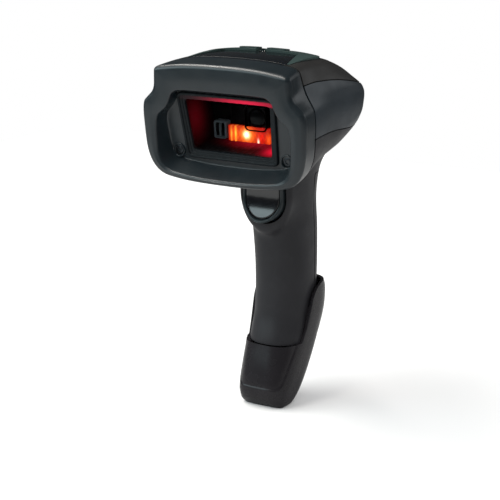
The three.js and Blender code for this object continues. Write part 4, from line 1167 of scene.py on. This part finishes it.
# ---------------- screws and bosses
def turned_rows(profile, centre, axis, side_axis, count=48, hexagon_from=None):
    """Rings about an axis from (radius, along) pairs; later rings may be a hexagon."""
    axis, side_axis = np.array(axis, float), np.array(side_axis, float)
    third = np.cross(axis, side_axis)
    angles = np.linspace(0, 2 * PI, count, endpoint=False)
    rows = []
    for k, (radius, along) in enumerate(profile):
        reach = np.full(count, radius)
        if hexagon_from is not None and k >= hexagon_from:
            fold = (angles + PI / 6) % (PI / 3) - PI / 6
            reach = radius * math.cos(PI / 6) / np.cos(fold)
        circle = (np.cos(angles)[:, None] * side_axis + np.sin(angles)[:, None] * third)
        rows.append(np.array(centre) + axis * along + circle * reach[:, None])
    return rows


SCREW_HEAD = [(1.0, 3.4), (1.0, 1.75), (1.75, 1.7), (2.02, 1.55), (2.1, 1.3), (2.1, 0.35),
              (2.02, 0.14), (1.85, 0.02), (1.3, 0.0), (1.12, 0.0), (1.05, 0.1), (1.05, 1.0),
              (0.6, 1.05), (0.1, 1.1)]
SCREW_HEX_FROM = 9


def screw_piece(name, node, centre, axis, side, body="housing", grow=1.0, sunk=0.0, head=False):
    profile = [(radius * grow, along - sunk) for radius, along in SCREW_HEAD]
    rows = turned_rows(profile, centre, axis, side, hexagon_from=SCREW_HEX_FROM)
    make(name, *loft(rows), DARK_STEEL, node, body, head=head, sharp=35)


BOSS = [(2.55, 3.4), (2.55, 0.6), (2.62, 0.28), (2.8, 0.12), (3.05, 0.1), (3.25, 0.2), (3.35, 0.45),
        (3.4, 1.2), (3.4, 3.4)]
FACE_SCREW_X, FACE_SCREW_Z = 28.6, -19.4
for side, x in (("left", -FACE_SCREW_X), ("right", FACE_SCREW_X)):
    rows = turned_rows(BOSS, (x, 7.6, FACE_SCREW_Z), (0, 1, 0), (1, 0, 0), 64)
    make(f"screw_boss_{side}", *loft(rows, "loop"), BLUE_GREY, head=True)
    screw_piece(f"face_screw_{side}", f"bezel_screw_{side}", (x, 8.3, FACE_SCREW_Z), (0, 1, 0),
                (1, 0, 0), head=True)


# ---------------- seen through the window
def front_block(name, material, node, half_x, half_z, soft, x, z, profile):
    """Block that faces the window: profile rows are (inset, depth)."""
    rings = [flat(rounded_ring(rectangle(half_x - inset, half_z - inset, soft, 0, x, z), 6, 6), depth)
             for inset, depth in profile]
    make(name, *loft(rings), material, node, head=True, sharp=45)


def engine_pieces():
    front_block("engine_block", DEEP_BLACK, "engine_housing", 12.3, 11.0, .06, *ENGINE_MIDDLE,
                [(0, 36.9), (0, 26.9), (0.15, 26.5), (0.5, 26.3), (4, 26.3), (8, 26.3)])
    front_block("lens_block", DEEP_BLACK, "lens_holder", LENS_HALF, LENS_HALF, .22, LENS_X, LENS_Z,
                [(-0.5, 26.2), (-0.5, 23.0), (-0.42, 22.65), (-0.25, 22.45), (-0.1, 22.4),
                 (0, 22.42), (0.1, 22.6), (0.15, 24.0), (0.7, 24.2), (2.5, 24.3)])
    radius, crown, bulge = 4.6, 22.9, 1.2
    dome = [(radius * math.sin(t), crown + bulge * (1 - math.cos(t)))
            for t in np.linspace(PI / 2, 0.02, 12)]
    rows = turned_rows([(radius, 24.2)] + dome, (LENS_X, 0, LENS_Z), (0, 1, 0), (1, 0, 0), 64)
    make("imaging_lens", *loft(rows), LENS_GLASS, "camera_lens", head=True, sharp=60)
    x, z = AIMER_MIDDLE
    front_block("aimer_block", AIMER_GREY, "aimer_module", 3.4, 4.2, .15, x, z,
                [(0, 32.9), (0, 23.5), (0.12, 23.15), (0.4, 23.0), (0.7, 23.0), (0.85, 23.2),
                 (0.9, 24.4), (2.6, 24.5)])
    front_block("aimer_divider", AIMER_GREY, None, 0.35, 3.0, .1, x, z,
                [(0, 24.4), (0, 23.3), (0.1, 23.1), (0.3, 23.1)])
    for side, at in (("left", -17.35), ("right", -14.25)):
        front_block(f"aimer_window_{side}", DEEP_BLACK, None, 1.05, 3.0, .12, at, z,
                    [(0, 24.45), (0, 24.1), (0.1, 24.0), (0.4, 24.0)])
    # closes the gap between the engine and the light tunnel
    outer = rounded_ring(rectangle(23.0, 13.0, 0.05, 0, 0, -6.8), 6, 6)
    inner = rounded_ring(rectangle(12.7, 11.4, 0.06, 0, *ENGINE_MIDDLE), 6, 6)
    rows = [flat(outer, 28.4), flat(outer, 27.2), flat(inner, 27.2), flat(inner, 28.4)]
    make("engine_mask", *loft(rows, "loop"), DEEP_BLACK, head=True, sharp=45)


engine_pieces()


def light_guide_piece():
    """Moulded light guide, lit from behind; its glow and glints are painted colour stored on its points.
    """
    xs = np.linspace(-GUIDE_HALF_X, GUIDE_HALF_X, 120)
    zs = np.linspace(GUIDE_Z - GUIDE_HALF_Z, GUIDE_Z + GUIDE_HALF_Z, 44)
    x, z = np.meshgrid(xs, zs)
    face = 23.0 + 0.25 * np.cos(2 * PI * x / 2.1) * (x < -5.6) + 0.35 * (np.abs(x - 3.4) < 0.5)
    front = np.stack([x, face, z], -1).reshape(-1, 3)
    back = np.stack([x, np.full_like(x, 25.5), z], -1).reshape(-1, 3)
    guide = joined_sheets(front, back, grid_faces(len(zs), len(xs)))
    paint_glow(make("illumination_guide", *guide, GUIDE, "light_guide", head=True, sharp=40), guide_glow)


RED, ORANGE = np.array([1, .012, .006]), np.array([1, .12, .01])
YELLOW, WHITE = np.array([1, .55, .05]), np.array([1, .95, .7])
# strength, place x and z, half width, half height and colour of each spot of painted light: glow, and
# white and yellow glints
GLOW_SPOTS = [
    (0.8, -8.2, -13.8, 2.4, 4.0, ORANGE), (0.9, -9.4, -13.4, 0.45, 3.0, YELLOW),
    (1.3, -7.1, -13.0, 0.45, 3.4, YELLOW), (3.0, -1.3, -13.2, 1.25, 1.3, WHITE),
    (1.3, -1.3, -13.2, 2.4, 2.3, YELLOW), (1.3, -1.0, -13.4, 4.4, 3.8, ORANGE),
    (1.6, 4.9, -16.0, 0.45, 1.2, WHITE), (1.1, 10.4, -14.6, 1.3, 2.4, ORANGE),
    (0.6, 6.5, -13.8, 2.2, 2.6, RED),
]
# a row of painted yellow glints along the guide's lower edge
GLOW_SPOTS += [(0.5 + 0.4 * (k % 2), at, -17.4, 0.5, 0.45, YELLOW)
               for k, at in enumerate(np.linspace(-9.6, 9.6, 9))]


def guide_glow(points):
    x, y, z = points.T
    glow = 0.5 * RED * np.ones((len(x), 1))
    for strength, at_x, at_z, wide, tall, colour in GLOW_SPOTS:
        spot = np.exp(-((x - at_x) / wide) ** 2 - ((z - at_z) / tall) ** 2)
        glow = glow + strength * spot[:, None] * colour
    ribs = 0.86 + 0.14 * np.cos(x * 3.1 + 0.6 * np.sin(z)) * np.cos(z * 1.7)
    return glow * (np.where(y < 24, 1, 0.3) * ribs)[:, None]


light_guide_piece()


# ---------------- hidden screws
def seated_screw(name, node, body, surface, grow):
    """Screw whose head lies flush on the back of a shell, square to its surface."""
    low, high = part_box(node)
    x, z = (low.x + high.x) / 2 / MM, (low.z + high.z) / 2 / MM - LIFT
    y, right, up = surface(x, z), surface(x + 0.5, z), surface(x, z + 0.5)
    inward = np.array([(right - y) / 0.5, -1, (up - y) / 0.5])
    inward /= np.linalg.norm(inward)
    side = np.cross(inward, (0, 0, 1))
    side /= np.linalg.norm(side)
    screw_piece(name, node, (x, y, z), inward, side, body, grow, sunk=0.16)


def grip_back(x, z):
    origin = np.array([[x, section(GRIP_SECTIONS, np.array([z]))[0][0], z]])
    return cast(body_field, origin, np.array([[0, 1.0, 0]]), GRIP_REACH)[0, 1]


def boot_back(_, z):
    return section(BOOT_SECTIONS, np.array([z]))[1][0]


for place in ("left", "right", "lower"):
    seated_screw(f"handle_screw_{place}", f"case_screw_{place}", "housing", grip_back, 0.95)
seated_screw("boot_screw", "cap_screw", "boot", boot_back, 1.15)


# ---------------- pieces that keep their CAD shape
kept = (
    (RUBBER, "window_gasket cap_seal"),
    (STEEL, "trigger_pin trigger_spring battery_spring"),
    (DARK_STEEL, "engine_bracket"),
    (BOARD, "trigger_board engine_board main_board"),
    (BLACK, "trigger_switch buzzer"),
    (IVORY, "switch_plunger"),
    (LAMP, "illumination_led_left illumination_led_right status_led"),
    (CHIP, "decoder_chip"),
    (CHASSIS, "radio_module"),
    (RIBBON, "flex_cable"),
    (WRAP, "battery_cell"),
    (LEAD, "battery_lead"),
    (BRASS, "battery_contact charge_contact_left charge_contact_right"),
)
for material, nodes in kept:
    for node in nodes.split():
        frame["nodes"][node].data.materials.clear()
        frame["nodes"][node].data.materials.append(material)


# ---------------- floor, light, camera
scene = bpy.context.scene
scene.view_settings.view_transform = "Standard"


def floor_piece():
    """White paper to the camera, but a darker grey in what it throws back at the object."""
    n = Nodes("floor_paper")
    shader = n.add("ShaderNodeBsdfPrincipled")
    tone = n.mix(n.remap(n.noise(3, 3), 0.3, 0.7, 0, 1), (0.79, 0.79, 0.79), (0.81, 0.81, 0.81))
    seen = n.add("ShaderNodeLightPath").outputs["Is Camera Ray"]
    n.link(n.mix(seen, (0.45, 0.45, 0.45), tone), shader.inputs["Base Color"])
    n.link(n.remap(seen, 0, 1, 0, 0.07), shader.inputs["Emission Strength"])
    n.fill(shader, {"Emission Color": (1, 1, 1, 1), "Roughness": 0.6, "Specular IOR Level": 0.0})
    n.link(shader.outputs[0], n.output.inputs["Surface"])
    mesh = bpy.data.meshes.new("studio_floor")
    bm = bmesh.new()
    bmesh.ops.create_grid(bm, x_segments=8, y_segments=8, size=0.58)
    bm.to_mesh(mesh)
    bm.free()
    mesh.materials.append(n.material)
    floor = bpy.data.objects.new("studio_floor", mesh)
    scene.collection.objects.link(floor)
    # the boot stays on the floor when the scanner is lifted out of it
    follow = floor.constraints.new("COPY_LOCATION")
    follow.target = frame["bodies"]["boot"]
    follow.use_x = follow.use_y = False


floor_piece()


LIT_SPOT = Vector((0, 0, 0.1))


def soft_box(name, place, width, height, power, colour):
    """Rectangular lamp that faces the middle of the scanner."""
    data = bpy.data.lights.new(name, "AREA")
    data.shape = "RECTANGLE"
    data.size, data.size_y, data.energy, data.color = width, height, power, colour
    light = bpy.data.objects.new(name, data)
    light.location = place
    light.rotation_euler = (LIT_SPOT - Vector(place)).to_track_quat("-Z", "Y").to_euler()
    scene.collection.objects.link(light)


soft_box("key_top", (-0.6, -0.32, 1.25), 1.6, 0.22, 16, (1, 0.96, 0.91))
soft_box("front_left", (-1.02, -0.91, 0.74), 1.4, 0.66, 8, (0.78, 0.96, 1))
soft_box("back_right", (0.85, 0.95, 0.62), 1.2, 0.7, 2.2, (0.95, 0.98, 1))


def world_light():
    """White to the camera, soft light on matt surfaces and very little in reflections."""
    world = bpy.data.worlds.new("studio")
    scene.world = world
    world.use_nodes = True
    tree = world.node_tree
    tree.nodes.clear()
    path = tree.nodes.new("ShaderNodeLightPath")

    def sky(colour, strength):
        node = tree.nodes.new("ShaderNodeBackground")
        node.inputs["Color"].default_value = (*colour, 1)
        node.inputs["Strength"].default_value = strength
        return node.outputs[0]

    def choose(ray, others, chosen):
        node = tree.nodes.new("ShaderNodeMixShader")
        for source, socket in zip((path.outputs[ray], others, chosen), node.inputs):
            tree.links.new(source, socket)
        return node.outputs[0]

    lit = choose("Is Glossy Ray", sky((0.8, 0.8, 0.8), 1.05), sky((0.9, 0.95, 1), 0.05))
    output = tree.nodes.new("ShaderNodeOutputWorld")
    tree.links.new(choose("Is Camera Ray", lit, sky((1, 1, 1), 1)), output.inputs["Surface"])


world_light()


def place_camera():
    data = bpy.data.cameras.new("camera")
    data.lens, data.sensor_width = 105.98, 36
    camera = bpy.data.objects.new("camera", data)
    camera.location = (0.3498, -0.5731, 0.2465 + LIFT * MM)
    away = Vector((0.5145, -0.8204, 0.2492))
    camera.rotation_euler = away.to_track_quat("Z", "Y").to_euler()
    scene.collection.objects.link(camera)
    scene.camera = camera


place_camera()
